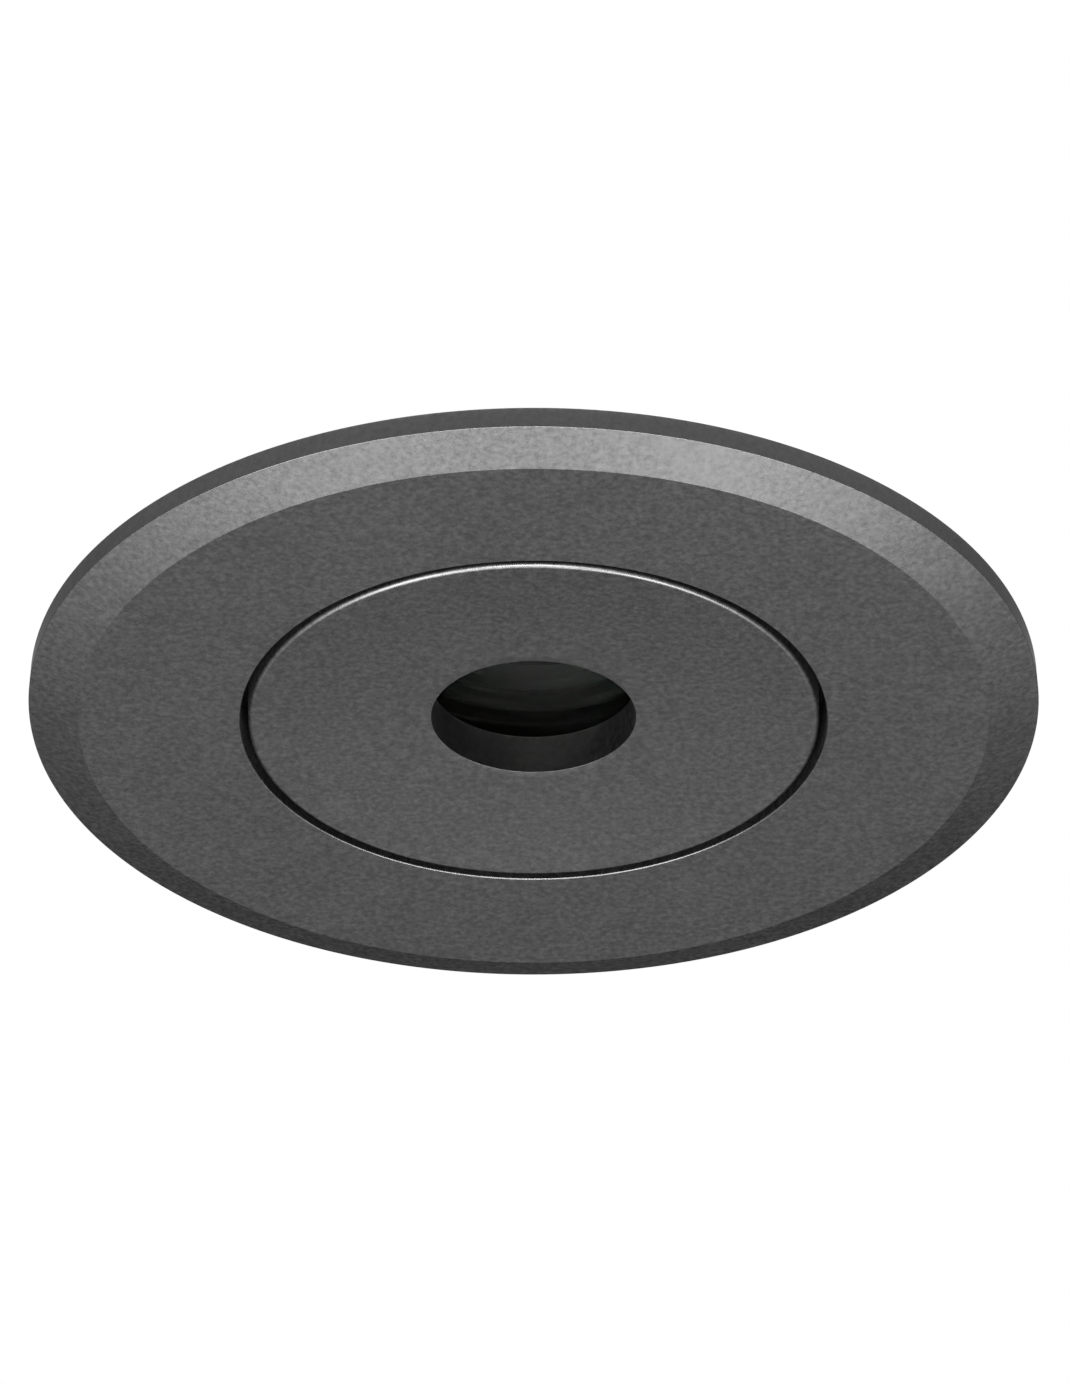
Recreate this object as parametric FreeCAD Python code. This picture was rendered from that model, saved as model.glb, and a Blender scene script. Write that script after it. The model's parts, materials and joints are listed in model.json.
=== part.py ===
import FreeCAD, Part
import math
import os

# Recessed soffit downlight with a flush pinhole plate, in millimetres.
# The origin is on the light's axis in the plane of the soffit's underside, and +Z goes up into the void.
# The trim hangs just below z = 0, the can stands above it, and the two spring clips lie on the X axis.

Vec = FreeCAD.Vector
ORIGIN = Vec(0, 0, 0)
X_AXIS = Vec(1, 0, 0)
Y_AXIS = Vec(0, 1, 0)
Z_AXIS = Vec(0, 0, 1)
FULL_TURN = 360.0
HALF_TURN = 180.0
QUARTER_TURN = 90.0
HEX_SIDES = 6

# ------------------------------------------------------------------ clearances
seated_clearance = 0.05         # a piece seated in its pocket
thread_clearance = 0.05         # a screw in its tapped hole
screw_hole_clearance = 0.2      # a screw shank in a plain hole
running_clearance = 0.05        # a clip arm on its pin
moving_clearance = 0.3          # the spring and the moving sheet metal
heel_clearance = 0.1            # a sprung-down clip arm and its stop

# ------------------------------------------------------------------ screws, radii and heights
m2_thread_r = 1.0
m2_head_r = 1.9
m25_thread_r = 1.25
m25_head_r = 2.0
m25_head_height = 1.6
m3_thread_r = 1.5
m3_head_r = 2.75
m3_head_height = 1.65
socket_share_of_head = 0.45     # radius of the hexagon socket, as a share of the head's
socket_depth_share = 0.6        # its depth, as a share of the head's height
head_chamfer_share = 0.16       # bevel of the head's rim, as a share of its height

# ------------------------------------------------------------------ front glass and its seat
glass_r = 23.5
glass_thickness = 3.0
glass_edge_chamfer = 0.3
glass_gasket_wall = 1.3
glass_gasket_lip = 0.8
glass_gasket_reach = 1.5
ring_lap = 3.0                  # how far the retaining ring and the web reach over the glass
retaining_ring_thickness = 2.0
retaining_ring_clearance = 0.15
retaining_screw_length = 5.0
retaining_screw_count = 3
ledge_width = 4.25
web_thickness = 2.5

aperture_r = glass_r - ring_lap
pocket_r = glass_r + glass_gasket_wall
glass_gasket_height = glass_thickness + 2 * glass_gasket_lip

# ------------------------------------------------------------------ pinhole plate
plate_gap = 0.8                 # the even gap seen round the plate
plate_thickness = 5.0
plate_edge_round = 0.45
plate_back_chamfer = 0.3
dish_radius = 440.0             # the plate's front is a shallow hollow of this radius
pinhole_r = 10.15
pinhole_edge_break = 0.18
magnet_r = 2.5
magnet_thickness = 2.0
magnet_count = 3

bore_r = pocket_r + ledge_width
plate_r = bore_r - plate_gap

# ------------------------------------------------------------------ cut-out and trim flange
cutout_diameter = 85.0
cutout_clearance = 1.0
flange_overlap = 8.5
flange_thickness = 3.8
bevel_width = 4.9
bevel_rise = 1.65
rim_taper = 0.55
bore_lip_chamfer = 0.15
spigot_lead_in = 0.4
soffit_gasket_width = 5.0
soffit_gasket_thickness = 1.5
soffit_gasket_proud = 0.2
soffit_gasket_inset = 1.6

spigot_r = cutout_diameter / 2 - cutout_clearance
trim_r = spigot_r + flange_overlap
flange_back_z = -soffit_gasket_proud
face_z = flange_back_z - flange_thickness
gasket_groove_floor_z = -soffit_gasket_thickness
gasket_groove_inner_r = spigot_r + soffit_gasket_inset
gasket_groove_outer_r = gasket_groove_inner_r + soffit_gasket_width
plate_back_z = face_z + plate_thickness
ledge_z = plate_back_z + retaining_ring_thickness
web_z = ledge_z + glass_gasket_height
web_top_z = web_z + web_thickness

# ------------------------------------------------------------------ lens, its cup and the black cone
lens_r = 14.0
lens_rim_width = 0.6
lens_rim_thickness = 1.0
lens_height = 8.5
lens_back_r = 6.0
lens_bulge = 1.1                # how far the lens's side bows out from a straight cone
lens_well_r = 4.6
lens_well_depth = 3.5
lens_well_dome = 0.8
lens_holder_wall = 1.95
lens_holder_lip = 0.8
lens_lip_lap = 0.6
lens_neck_reach = 0.3           # how far the lens's back stands past its cup
baffle_flange_thickness = 1.0
baffle_wall = 0.8
baffle_flange_inset = 0.5

lens_rim_r = lens_r + lens_rim_width
lens_holder_r = lens_rim_r + seated_clearance + lens_holder_wall
lens_lip_r = lens_r - lens_lip_lap
baffle_top_z = web_top_z + baffle_flange_thickness
lens_front_z = baffle_top_z + lens_holder_lip
lens_back_z = lens_front_z + lens_height
lens_holder_top_z = lens_back_z - lens_neck_reach

# ------------------------------------------------------------------ LED board and its clamp
led_holder_height = 2.0
led_holder_bore_clearance = 1.0
led_emitter_r = 4.3
led_emitter_thickness = 0.8
led_dam_width = 0.7
led_dam_height = 0.2
led_board_thickness = 1.6
thermal_pad_thickness = 0.3
led_screw_length = 8.0
led_screw_count = 3
led_screw_side_gap = 0.9
led_board_margin = 2.5

led_screw_circle_r = lens_holder_r + m25_head_r + led_screw_side_gap
led_board_r = led_screw_circle_r + led_board_margin
board_front_z = lens_holder_top_z + led_holder_height
board_back_z = board_front_z + led_board_thickness
floor_z = board_back_z + thermal_pad_thickness

# ------------------------------------------------------------------ collar of the trim ring and seal
cavity_wall_gap = 5.0           # room round the LED board
inner_space_height = 5.9        # from the web to the joint with the heat sink
seal_section_r = 0.75
seal_groove_width = 1.9
seal_groove_wall = 1.3
housing_screw_wall = 1.2
housing_screw_edge = 3.4
housing_screw_length = 10.0
housing_screw_count = 4
tapped_hole_allowance = 1.0
flat_wall = 2.2                 # metal left between the seal groove and the clip flats

cavity_r = led_board_r + cavity_wall_gap
collar_top_z = web_top_z + inner_space_height
seal_groove_inner_r = cavity_r + seal_groove_wall
seal_groove_outer_r = seal_groove_inner_r + seal_groove_width
seal_groove_depth = 2 * seal_section_r + seated_clearance
housing_screw_circle_r = seal_groove_outer_r + housing_screw_wall + m3_thread_r + screw_hole_clearance
collar_r = housing_screw_circle_r + housing_screw_edge
flat_x = seal_groove_outer_r + flat_wall

# ------------------------------------------------------------------ heat sink
sink_flange_thickness = 4.0
shoulder_wall = 2.5
floor_thickness = 5.0
chamber_r = 15.0
chamber_height = 29.0
core_wall = 5.0
fin_overhang = 1.5
fin_thickness = 1.6
fin_places = 24
fin_drop = 2.0                  # the fins stop this far under the core's top
fin_top_chamfer = 5.0
clip_sector = 15.0              # degrees each side of the X axis without fins
core_edge_chamfer = 0.5

sink_flange_top_z = collar_top_z + sink_flange_thickness
shoulder_r = cavity_r + shoulder_wall
chamber_floor_z = floor_z + floor_thickness
core_top_z = chamber_floor_z + chamber_height
core_r = chamber_r + core_wall
fin_r = collar_r + fin_overhang
fin_top_z = core_top_z - fin_drop

# ------------------------------------------------------------------ rear cover
cover_gasket_thickness = 1.0
cover_thickness = 3.0
cover_edge_chamfer = 0.6
cover_screw_length = 10.0
cover_screw_count = 4

cover_z = core_top_z + cover_gasket_thickness
cover_top_z = cover_z + cover_thickness
cover_screw_circle_r = (chamber_r + core_r) / 2

# ------------------------------------------------------------------ cable gland
cable_bore_r = 3.5              # the seal's bore, for a round cable about 7 mm thick
gland_thread_r = 8.0
gland_tail = 5.0                # thread below the cover
gland_hex_across = 20.0
gland_hex_height = 4.0
gland_washer_thickness = 1.0
gland_washer_width = 2.4
gland_neck_r = 7.6
gland_neck_height = 6.0
gland_way_r = 4.6
gland_seal_r = 5.85
gland_seal_seat_depth = 2.0
gland_seal_proud = 1.5
gland_nut_across = 19.0
gland_nut_gap = 1.0
gland_nut_height = 7.0
gland_dome_height = 5.0
gland_dome_r = 5.6
gland_dome_bulge = 0.5
gland_nut_way_r = 4.2
gland_locknut_height = 3.0
hexagon_chamfer = 0.6

gland_hex_z = cover_top_z + gland_washer_thickness
gland_neck_z = gland_hex_z + gland_hex_height
gland_neck_top_z = gland_neck_z + gland_neck_height
gland_seal_z = gland_neck_z - gland_seal_seat_depth
gland_seal_top_z = gland_neck_top_z + gland_seal_proud
gland_nut_z = gland_neck_z + gland_nut_gap
gland_dome_z = gland_nut_z + gland_nut_height
gland_top_z = gland_dome_z + gland_dome_height

# ------------------------------------------------------------------ terminal block and inner leads
terminal_pitch = 9.0
terminal_block_depth = 9.0
terminal_block_height = 12.0
terminal_end_wall = 1.3
terminal_insert_width = 4.4
terminal_insert_depth = 6.4
terminal_insert_height = 6.4
terminal_insert_lift = 2.0
terminal_wire_way_r = 1.1
terminal_wire_lift = 4.5
terminal_screw_length = 4.5
terminal_screw_lift = 6.0
terminal_screw_slot = 0.5
terminal_fixing_pocket = 3.0
terminal_fixing_length = 12.0
lead_r = 0.65
lead_hole_r = 0.9
lead_reach_y = 12.5
lead_grip = 2.0                 # length of lead held inside its clamp
lead_solder_proud = 0.5
lead_pocket_r = 1.6
lead_arc_share = 0.45

lead_x = terminal_pitch / 2
lead_z = chamber_floor_z + terminal_wire_lift
terminal_block_width = terminal_pitch + terminal_insert_width + 2 * terminal_end_wall

# ------------------------------------------------------------------ spring clips
sheet_thickness = 1.0
clip_pin_r = 1.25
clip_pin_z = 15.0
clip_pin_head_r = 1.9
clip_pin_head_height = 0.7
spring_wire_r = 0.5
spring_coil_r = 2.3             # to the middle of the wire
spring_whole_turns = 4
spring_turn_gap = 0.45
spring_spans_per_turn = 4       # each span is one pair of arcs
spring_gap_samples = 72
spring_fixed_leg = 5.0
spring_arm_leg = 12.0
arm_sheet = 0.8
arm_length = 34.0
arm_side_gap = 2.0              # between the spring's end turn and the arm's ear
arm_ear_r = 2.2
arm_ear_length = 14.0
arm_ear_thickness = 1.0
arm_droop = 12.0                # degrees below level when nothing holds the arm up
arm_end_round = 2.0
bracket_ear_r = 2.6
bracket_ear_foot = 5.0          # half height of the ear where it leaves the plate
bracket_foot_gap = 0.6
bracket_top_reach = 5.8
bracket_wide_reach = 3.5
bracket_screw_side = 3.3        # between the ear and the middle of the bracket's screw
bracket_screw_edge = 2.4
bracket_screw_length = 6.0
tip_length = 11.0
tip_wall = 0.8
tip_overrun = 1.2
tip_round = 0.7

bracket_face_x = flat_x + sheet_thickness
spring_outer_r = spring_coil_r + spring_wire_r
clip_pin_x = bracket_face_x + moving_clearance + spring_outer_r
spring_pitch = 2 * spring_wire_r + spring_turn_gap
spring_turns = spring_whole_turns + (QUARTER_TURN - arm_droop) / FULL_TURN
spring_half_width = spring_turns * spring_pitch / 2
arm_ear_inner_y = spring_half_width + spring_wire_r + arm_side_gap
arm_ear_outer_y = arm_ear_inner_y + arm_ear_thickness
arm_web_top = -(spring_outer_r + moving_clearance)
arm_web_bottom = arm_web_top - arm_sheet
bracket_ear_inner_y = arm_ear_outer_y + moving_clearance
bracket_ear_outer_y = bracket_ear_inner_y + sheet_thickness
bracket_screw_y = bracket_ear_outer_y + bracket_screw_side
bracket_screw_z = (ledge_z + collar_top_z) / 2
bracket_half_width = bracket_screw_y + bracket_screw_edge


# ------------------------------------------------------------------ shape helpers
def disc(radius, low, high):
    """Upright cylinder on the light's axis."""
    return Part.makeCylinder(radius, high - low, Vec(0, 0, low))


def ring(outer, inner, low, high):
    """Flat ring on the light's axis."""
    return disc(outer, low, high).cut(disc(inner, low, high))


def box(low, high):
    """Box between its lowest and highest corners."""
    size = high - low
    return Part.makeBox(size.x, size.y, size.z, low)


def line(start, end):
    """Straight edge between two (radius, height) points."""
    return Part.LineSegment(Vec(start[0], 0, start[1]), Vec(end[0], 0, end[1])).toShape()


def arc(start, middle, end):
    """Round edge through three (radius, height) points."""
    points = [Vec(point[0], 0, point[1]) for point in (start, middle, end)]
    return Part.Arc(*points).toShape()


def lathe(edges):
    """Solid turned about the light's axis from a closed run of edges."""
    face = Part.Face(Part.Wire(edges))
    solid = Part.Solid(face.revolve(ORIGIN, Z_AXIS, FULL_TURN))
    if solid.Volume < 0:
        solid.reverse()
    return solid


def turned_profile(points):
    """Solid turned from a polygon of (radius, height) points."""
    loop = list(points) + [points[0]]
    return lathe([line(start, end) for start, end in zip(loop, loop[1:])])


def prism(points, direction):
    """Solid pushed out of a flat polygon of vectors."""
    loop = list(points) + [points[0]]
    return Part.Face(Part.makePolygon(loop)).extrude(direction)


def turned(shape, degrees):
    """Copy of a shape, turned about the light's axis."""
    copy = shape.copy()
    copy.rotate(ORIGIN, Z_AXIS, degrees)
    return copy


def moved(shape, offset):
    """Copy of a shape, moved."""
    copy = shape.copy()
    copy.translate(offset)
    return copy


def round_pattern(shape, count, first_degrees=0.0):
    """Copies of a shape, evenly spaced about the light's axis."""
    pitch = FULL_TURN / count
    return [turned(shape, first_degrees + index * pitch) for index in range(count)]


def hexagon(across, low, high):
    """Upright hexagonal bar."""
    corner_r = across / 2 / math.cos(math.radians(HALF_TURN / HEX_SIDES))
    angles = [math.radians(index * FULL_TURN / HEX_SIDES) for index in range(HEX_SIDES)]
    points = [Vec(corner_r * math.cos(angle), corner_r * math.sin(angle), low) for angle in angles]
    return prism(points, Vec(0, 0, high - low))


def chamfered_disc(radius, low, high, chamfer):
    """Cylinder with both rims bevelled."""
    return turned_profile([
        (0, low),
        (radius - chamfer, low),
        (radius, low + chamfer),
        (radius, high - chamfer),
        (radius - chamfer, high),
        (0, high),
    ])


def hexagon_nut(across, low, high):
    """Hexagonal bar whose corners are turned off at both ends."""
    corner_r = across / 2 / math.cos(math.radians(HALF_TURN / HEX_SIDES))
    return hexagon(across, low, high).common(chamfered_disc(corner_r, low, high, hexagon_chamfer))


def cheese_screw(thread_r, head_r, head_height, length):
    """Screw with its head above z = 0, its shank below, and a hexagon socket."""
    head_chamfer = head_height * head_chamfer_share
    head = turned_profile([
        (0, 0),
        (head_r, 0),
        (head_r, head_height - head_chamfer),
        (head_r - head_chamfer, head_height),
        (0, head_height),
    ])
    socket_across = 2 * head_r * socket_share_of_head
    socket = hexagon(socket_across, head_height * (1 - socket_depth_share), head_height)
    return head.cut(socket).fuse(disc(thread_r, -length, 0)).removeSplitter()


def countersunk_screw(thread_r, head_r, length):
    """Screw whose flat head ends at z = 0 and whose shank runs up from it."""
    head_depth = head_r - thread_r
    body = turned_profile([
        (0, 0),
        (head_r, 0),
        (thread_r, head_depth),
        (thread_r, length),
        (0, length),
    ])
    socket = hexagon(2 * head_r * socket_share_of_head, 0, head_depth * socket_depth_share)
    return body.cut(socket)


def faced_down(shape):
    """Copy of a shape, turned over about the X axis."""
    copy = shape.copy()
    copy.rotate(ORIGIN, X_AXIS, HALF_TURN)
    return copy


# ------------------------------------------------------------------ trim ring and what seals it
def clip_flats(low, high):
    """The two slabs that are milled off outside the clip flats."""
    reach = 2 * collar_r
    slab = box(Vec(flat_x, -reach, low), Vec(flat_x + reach, reach, high))
    return slab.fuse(turned(slab, HALF_TURN))


def trim_ring():
    """Flange, spigot, glass pocket and collar, turned in one piece."""
    profile = [
        (bore_r + bore_lip_chamfer, face_z),
        (trim_r - bevel_width, face_z),
        (trim_r, face_z + bevel_rise),
        (trim_r - rim_taper, flange_back_z),
        (gasket_groove_outer_r, flange_back_z),
        (gasket_groove_outer_r, gasket_groove_floor_z),
        (gasket_groove_inner_r, gasket_groove_floor_z),
        (gasket_groove_inner_r, flange_back_z),
        (spigot_r, flange_back_z),
        (spigot_r, ledge_z - spigot_lead_in),
        (spigot_r - spigot_lead_in, ledge_z),
        (collar_r, ledge_z),
        (collar_r, collar_top_z),
        (seal_groove_outer_r, collar_top_z),
        (seal_groove_outer_r, collar_top_z - seal_groove_depth),
        (seal_groove_inner_r, collar_top_z - seal_groove_depth),
        (seal_groove_inner_r, collar_top_z),
        (cavity_r, collar_top_z),
        (cavity_r, web_top_z),
        (aperture_r, web_top_z),
        (aperture_r, web_z),
        (pocket_r, web_z),
        (pocket_r, ledge_z),
        (bore_r, ledge_z),
        (bore_r, face_z + bore_lip_chamfer),
    ]
    body = turned_profile(profile).cut(clip_flats(ledge_z, collar_top_z))
    body = body.cut(retaining_screw_holes(m2_thread_r + thread_clearance))
    housing_depth = housing_screw_length - sink_flange_thickness + tapped_hole_allowance
    housing_hole = disc(m3_thread_r + thread_clearance, collar_top_z - housing_depth, collar_top_z)
    body = body.cut(housing_pattern(housing_hole))
    body = body.cut(bracket_screw_holes(m3_thread_r + thread_clearance, flat_x))
    return body.removeSplitter()


def soffit_gasket():
    """Foam ring in the groove on the flange's back."""
    outer = gasket_groove_outer_r - seated_clearance
    inner = gasket_groove_inner_r + seated_clearance
    return ring(outer, inner, gasket_groove_floor_z, 0)


# ------------------------------------------------------------------ pinhole plate
def dish_height(radius, rim_radius):
    """Height of the plate's hollow front at a radius, where rim_radius is its flush edge."""
    return face_z + (rim_radius ** 2 - radius ** 2) / (2 * dish_radius)


def magnet_circle_r():
    """Radius of the magnets, in the middle of the retaining ring's face."""
    return (aperture_r + plate_r) / 2


def magnet_pattern():
    """Discs for the magnets, flush with the plate's back."""
    magnet = disc(magnet_r, plate_back_z - magnet_thickness, plate_back_z)
    return round_pattern(moved(magnet, Vec(magnet_circle_r(), 0, 0)), magnet_count, QUARTER_TURN)


def pinhole_plate():
    """Round plate with the dished front, the rounded edge, the pinhole and the magnets' pockets."""
    rim = plate_r - plate_edge_round
    round_share = 1 - math.cos(math.radians(QUARTER_TURN / 2))
    hole_edge = pinhole_r + pinhole_edge_break
    middle = (rim + hole_edge) / 2
    hole_edge_point = (hole_edge, dish_height(hole_edge, rim))
    hole_wall_point = (pinhole_r, hole_edge_point[1] + pinhole_edge_break)
    hole_round_middle = (
        pinhole_r + pinhole_edge_break * round_share,
        hole_edge_point[1] + pinhole_edge_break * round_share,
    )
    edge_round_middle = (plate_r - plate_edge_round * round_share, face_z + plate_edge_round * round_share)
    edge_wall_point = (plate_r, face_z + plate_edge_round)
    back_edge_point = (plate_r, plate_back_z - plate_back_chamfer)
    back_rim_point = (plate_r - plate_back_chamfer, plate_back_z)
    plate = lathe([
        arc(hole_edge_point, (middle, dish_height(middle, rim)), (rim, face_z)),
        arc((rim, face_z), edge_round_middle, edge_wall_point),
        line(edge_wall_point, back_edge_point),
        line(back_edge_point, back_rim_point),
        line(back_rim_point, (pinhole_r, plate_back_z)),
        line((pinhole_r, plate_back_z), hole_wall_point),
        arc(hole_wall_point, hole_round_middle, hole_edge_point),
    ])
    pocket = disc(magnet_r + seated_clearance, plate_back_z - magnet_thickness, plate_back_z)
    pockets = round_pattern(moved(pocket, Vec(magnet_circle_r(), 0, 0)), magnet_count, QUARTER_TURN)
    return plate.cut(pockets)


# ------------------------------------------------------------------ glass and its retaining ring
def retaining_circle():
    """Offset of a retaining screw, in the middle of the ledge."""
    return Vec((pocket_r + bore_r) / 2, 0, 0)


def retaining_first_angle():
    """Angle of the first retaining screw, half way between two magnets."""
    return QUARTER_TURN + HALF_TURN / magnet_count


def retaining_screw_holes(radius):
    """Plain holes of one radius at the retaining screws, from the plate's back into the ledge."""
    high = plate_back_z + retaining_screw_length + tapped_hole_allowance
    hole = disc(radius, plate_back_z, high)
    return round_pattern(moved(hole, retaining_circle()), retaining_screw_count, retaining_first_angle())


def retaining_screws():
    """Countersunk screws, flush with the retaining ring's face."""
    screw = countersunk_screw(m2_thread_r, m2_head_r, retaining_screw_length)
    placed = moved(screw, retaining_circle() + Vec(0, 0, plate_back_z))
    return round_pattern(placed, retaining_screw_count, retaining_first_angle())


def retaining_ring():
    """Ring that holds the glass up and that the plate's magnets stick to."""
    body = ring(bore_r - retaining_ring_clearance, aperture_r, plate_back_z, ledge_z)
    body = body.cut(retaining_screw_holes(m2_thread_r + screw_hole_clearance))
    countersink = turned_profile([
        (0, 0),
        (m2_head_r + seated_clearance, 0),
        (m2_thread_r + seated_clearance, m2_head_r - m2_thread_r),
        (0, m2_head_r - m2_thread_r),
    ])
    placed = moved(countersink, retaining_circle() + Vec(0, 0, plate_back_z))
    return body.cut(round_pattern(placed, retaining_screw_count, retaining_first_angle()))


def front_glass():
    """Toughened disc with ground edges."""
    low = ledge_z + glass_gasket_lip
    return chamfered_disc(glass_r, low, low + glass_thickness, glass_edge_chamfer)


def glass_gasket():
    """U section ring round the glass's edge."""
    low = ledge_z + glass_gasket_lip
    body = ring(pocket_r - seated_clearance, glass_r - glass_gasket_reach, ledge_z, web_z)
    return body.cut(disc(glass_r + seated_clearance, low, low + glass_thickness))


# ------------------------------------------------------------------ optics
def anti_glare_baffle():
    """Black cone between the glass and the lens, hung on the web by its flange."""
    low = web_z + seated_clearance
    mouth_outer = aperture_r - 2 * seated_clearance
    mouth_inner = mouth_outer - baffle_wall
    slope = (mouth_inner - lens_lip_r) / (baffle_top_z - low)
    neck_outer = mouth_outer - slope * (web_top_z - low)
    return turned_profile([
        (mouth_inner, low),
        (mouth_outer, low),
        (neck_outer, web_top_z),
        (cavity_r - baffle_flange_inset, web_top_z),
        (cavity_r - baffle_flange_inset, baffle_top_z),
        (lens_lip_r, baffle_top_z),
    ])


def lens_well():
    """Hollow in the lens's back: a round wall that ends in a low dome."""
    well_z = lens_back_z - lens_well_depth
    crown_r = (lens_well_r ** 2 + lens_well_dome ** 2) / (2 * lens_well_dome)
    half_r = lens_well_r / 2
    half_z = well_z + math.sqrt(crown_r ** 2 - half_r ** 2) - (crown_r - lens_well_dome)
    return lathe([
        line((0, lens_back_z), (lens_well_r, lens_back_z)),
        line((lens_well_r, lens_back_z), (lens_well_r, well_z)),
        arc((lens_well_r, well_z), (half_r, half_z), (0, well_z + lens_well_dome)),
        line((0, well_z + lens_well_dome), (0, lens_back_z)),
    ])


def tir_lens():
    """Collimating lens: a bowed cone with a rim at its front and a domed well at its back."""
    rim_back_z = lens_front_z + lens_rim_thickness
    side_start = (lens_r, rim_back_z)
    side_end = (lens_back_r, lens_back_z)
    bow = lens_bulge / math.sqrt(2)
    side_middle = ((lens_r + lens_back_r) / 2 + bow, (rim_back_z + lens_back_z) / 2 + bow)
    body = lathe([
        line((0, lens_front_z), (lens_rim_r, lens_front_z)),
        line((lens_rim_r, lens_front_z), (lens_rim_r, rim_back_z)),
        line((lens_rim_r, rim_back_z), side_start),
        arc(side_start, side_middle, side_end),
        line(side_end, (0, lens_back_z)),
        line((0, lens_back_z), (0, lens_front_z)),
    ])
    return body.cut(lens_well())


def lens_holder():
    """Black cup: a front lip for the lens's rim, a round wall and a pierced back."""
    back_z = lens_holder_top_z - lens_holder_lip
    body = disc(lens_holder_r, baffle_top_z, lens_holder_top_z)
    body = body.cut(disc(lens_lip_r, baffle_top_z, lens_front_z))
    body = body.cut(disc(lens_rim_r + seated_clearance, lens_front_z, back_z))
    return body.cut(disc((lens_r + lens_back_r) / 2, back_z, lens_holder_top_z))


# ------------------------------------------------------------------ LED board
def led_pattern(shape):
    """Copies of a shape at the LED board's screws."""
    placed = moved(shape, Vec(led_screw_circle_r, 0, 0))
    return round_pattern(placed, led_screw_count, QUARTER_TURN + HALF_TURN / led_screw_count)


def lead_holes(radius, low, high):
    """Upright holes for the two inner leads."""
    hole = disc(radius, low, high)
    return [moved(hole, Vec(side * lead_x, lead_reach_y, 0)) for side in (-1, 1)]


def led_holder():
    """Plastic ring that presses the board's edge to the floor."""
    bore = lens_back_r + led_holder_bore_clearance
    body = ring(led_board_r, bore, lens_holder_top_z, board_front_z)
    body = body.cut(led_pattern(disc(m25_thread_r + screw_hole_clearance, lens_holder_top_z, board_front_z)))
    return body.cut(lead_holes(lead_pocket_r, lens_holder_top_z, board_front_z))


def led_emitter():
    """Chip-on-board light source: a dam ring and the phosphor inside it."""
    low = board_front_z - led_emitter_thickness
    hollow = disc(led_emitter_r - led_dam_width, low, low + led_dam_height)
    return disc(led_emitter_r, low, board_front_z).cut(hollow)


def led_board():
    """Round aluminium core board."""
    body = disc(led_board_r, board_front_z, board_back_z)
    body = body.cut(led_pattern(disc(m25_thread_r + screw_hole_clearance, board_front_z, board_back_z)))
    return body.cut(lead_holes(lead_hole_r, board_front_z, board_back_z))


def thermal_pad():
    """Soft pad between the board and the floor."""
    body = disc(led_board_r, board_back_z, floor_z)
    body = body.cut(led_pattern(disc(m25_thread_r + screw_hole_clearance, board_back_z, floor_z)))
    return body.cut(lead_holes(lead_hole_r, board_back_z, floor_z))


def led_screws():
    """Screws up through the clamp ring and the board into the floor."""
    screw = faced_down(cheese_screw(m25_thread_r, m25_head_r, m25_head_height, led_screw_length))
    return led_pattern(moved(screw, Vec(0, 0, lens_holder_top_z)))


# ------------------------------------------------------------------ heat sink and joint
def housing_pattern(shape):
    """Copies of a shape at the housing screws."""
    placed = moved(shape, Vec(housing_screw_circle_r, 0, 0))
    return round_pattern(placed, housing_screw_count, HALF_TURN / housing_screw_count)


def housing_seal():
    """O-ring in the collar's top."""
    middle_r = (seal_groove_inner_r + seal_groove_outer_r) / 2
    middle_z = collar_top_z - seal_groove_depth / 2
    return Part.makeTorus(middle_r, seal_section_r, Vec(0, 0, middle_z))


def housing_screws():
    """Screws down between the fins into the collar."""
    screw = cheese_screw(m3_thread_r, m3_head_r, m3_head_height, housing_screw_length)
    return housing_pattern(moved(screw, Vec(0, 0, sink_flange_top_z)))


def fin_angles():
    """Angles of the fins, leaving out those beside the clips."""
    pitch = FULL_TURN / fin_places
    angles = [(index + 1 / 2) * pitch for index in range(fin_places)]
    return [angle for angle in angles if min(angle % HALF_TURN, -angle % HALF_TURN) > clip_sector]


def fins():
    """Upright radial fins with their outer top corners cut off."""
    half = fin_thickness / 2
    root = core_r - core_wall / 2
    outline = [
        Vec(root, -half, sink_flange_top_z),
        Vec(fin_r, -half, sink_flange_top_z),
        Vec(fin_r, -half, fin_top_z - fin_top_chamfer),
        Vec(fin_r - fin_top_chamfer, -half, fin_top_z),
        Vec(root, -half, fin_top_z),
    ]
    fin = prism(outline, Vec(0, fin_thickness, 0))
    return [turned(fin, angle) for angle in fin_angles()]


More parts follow.
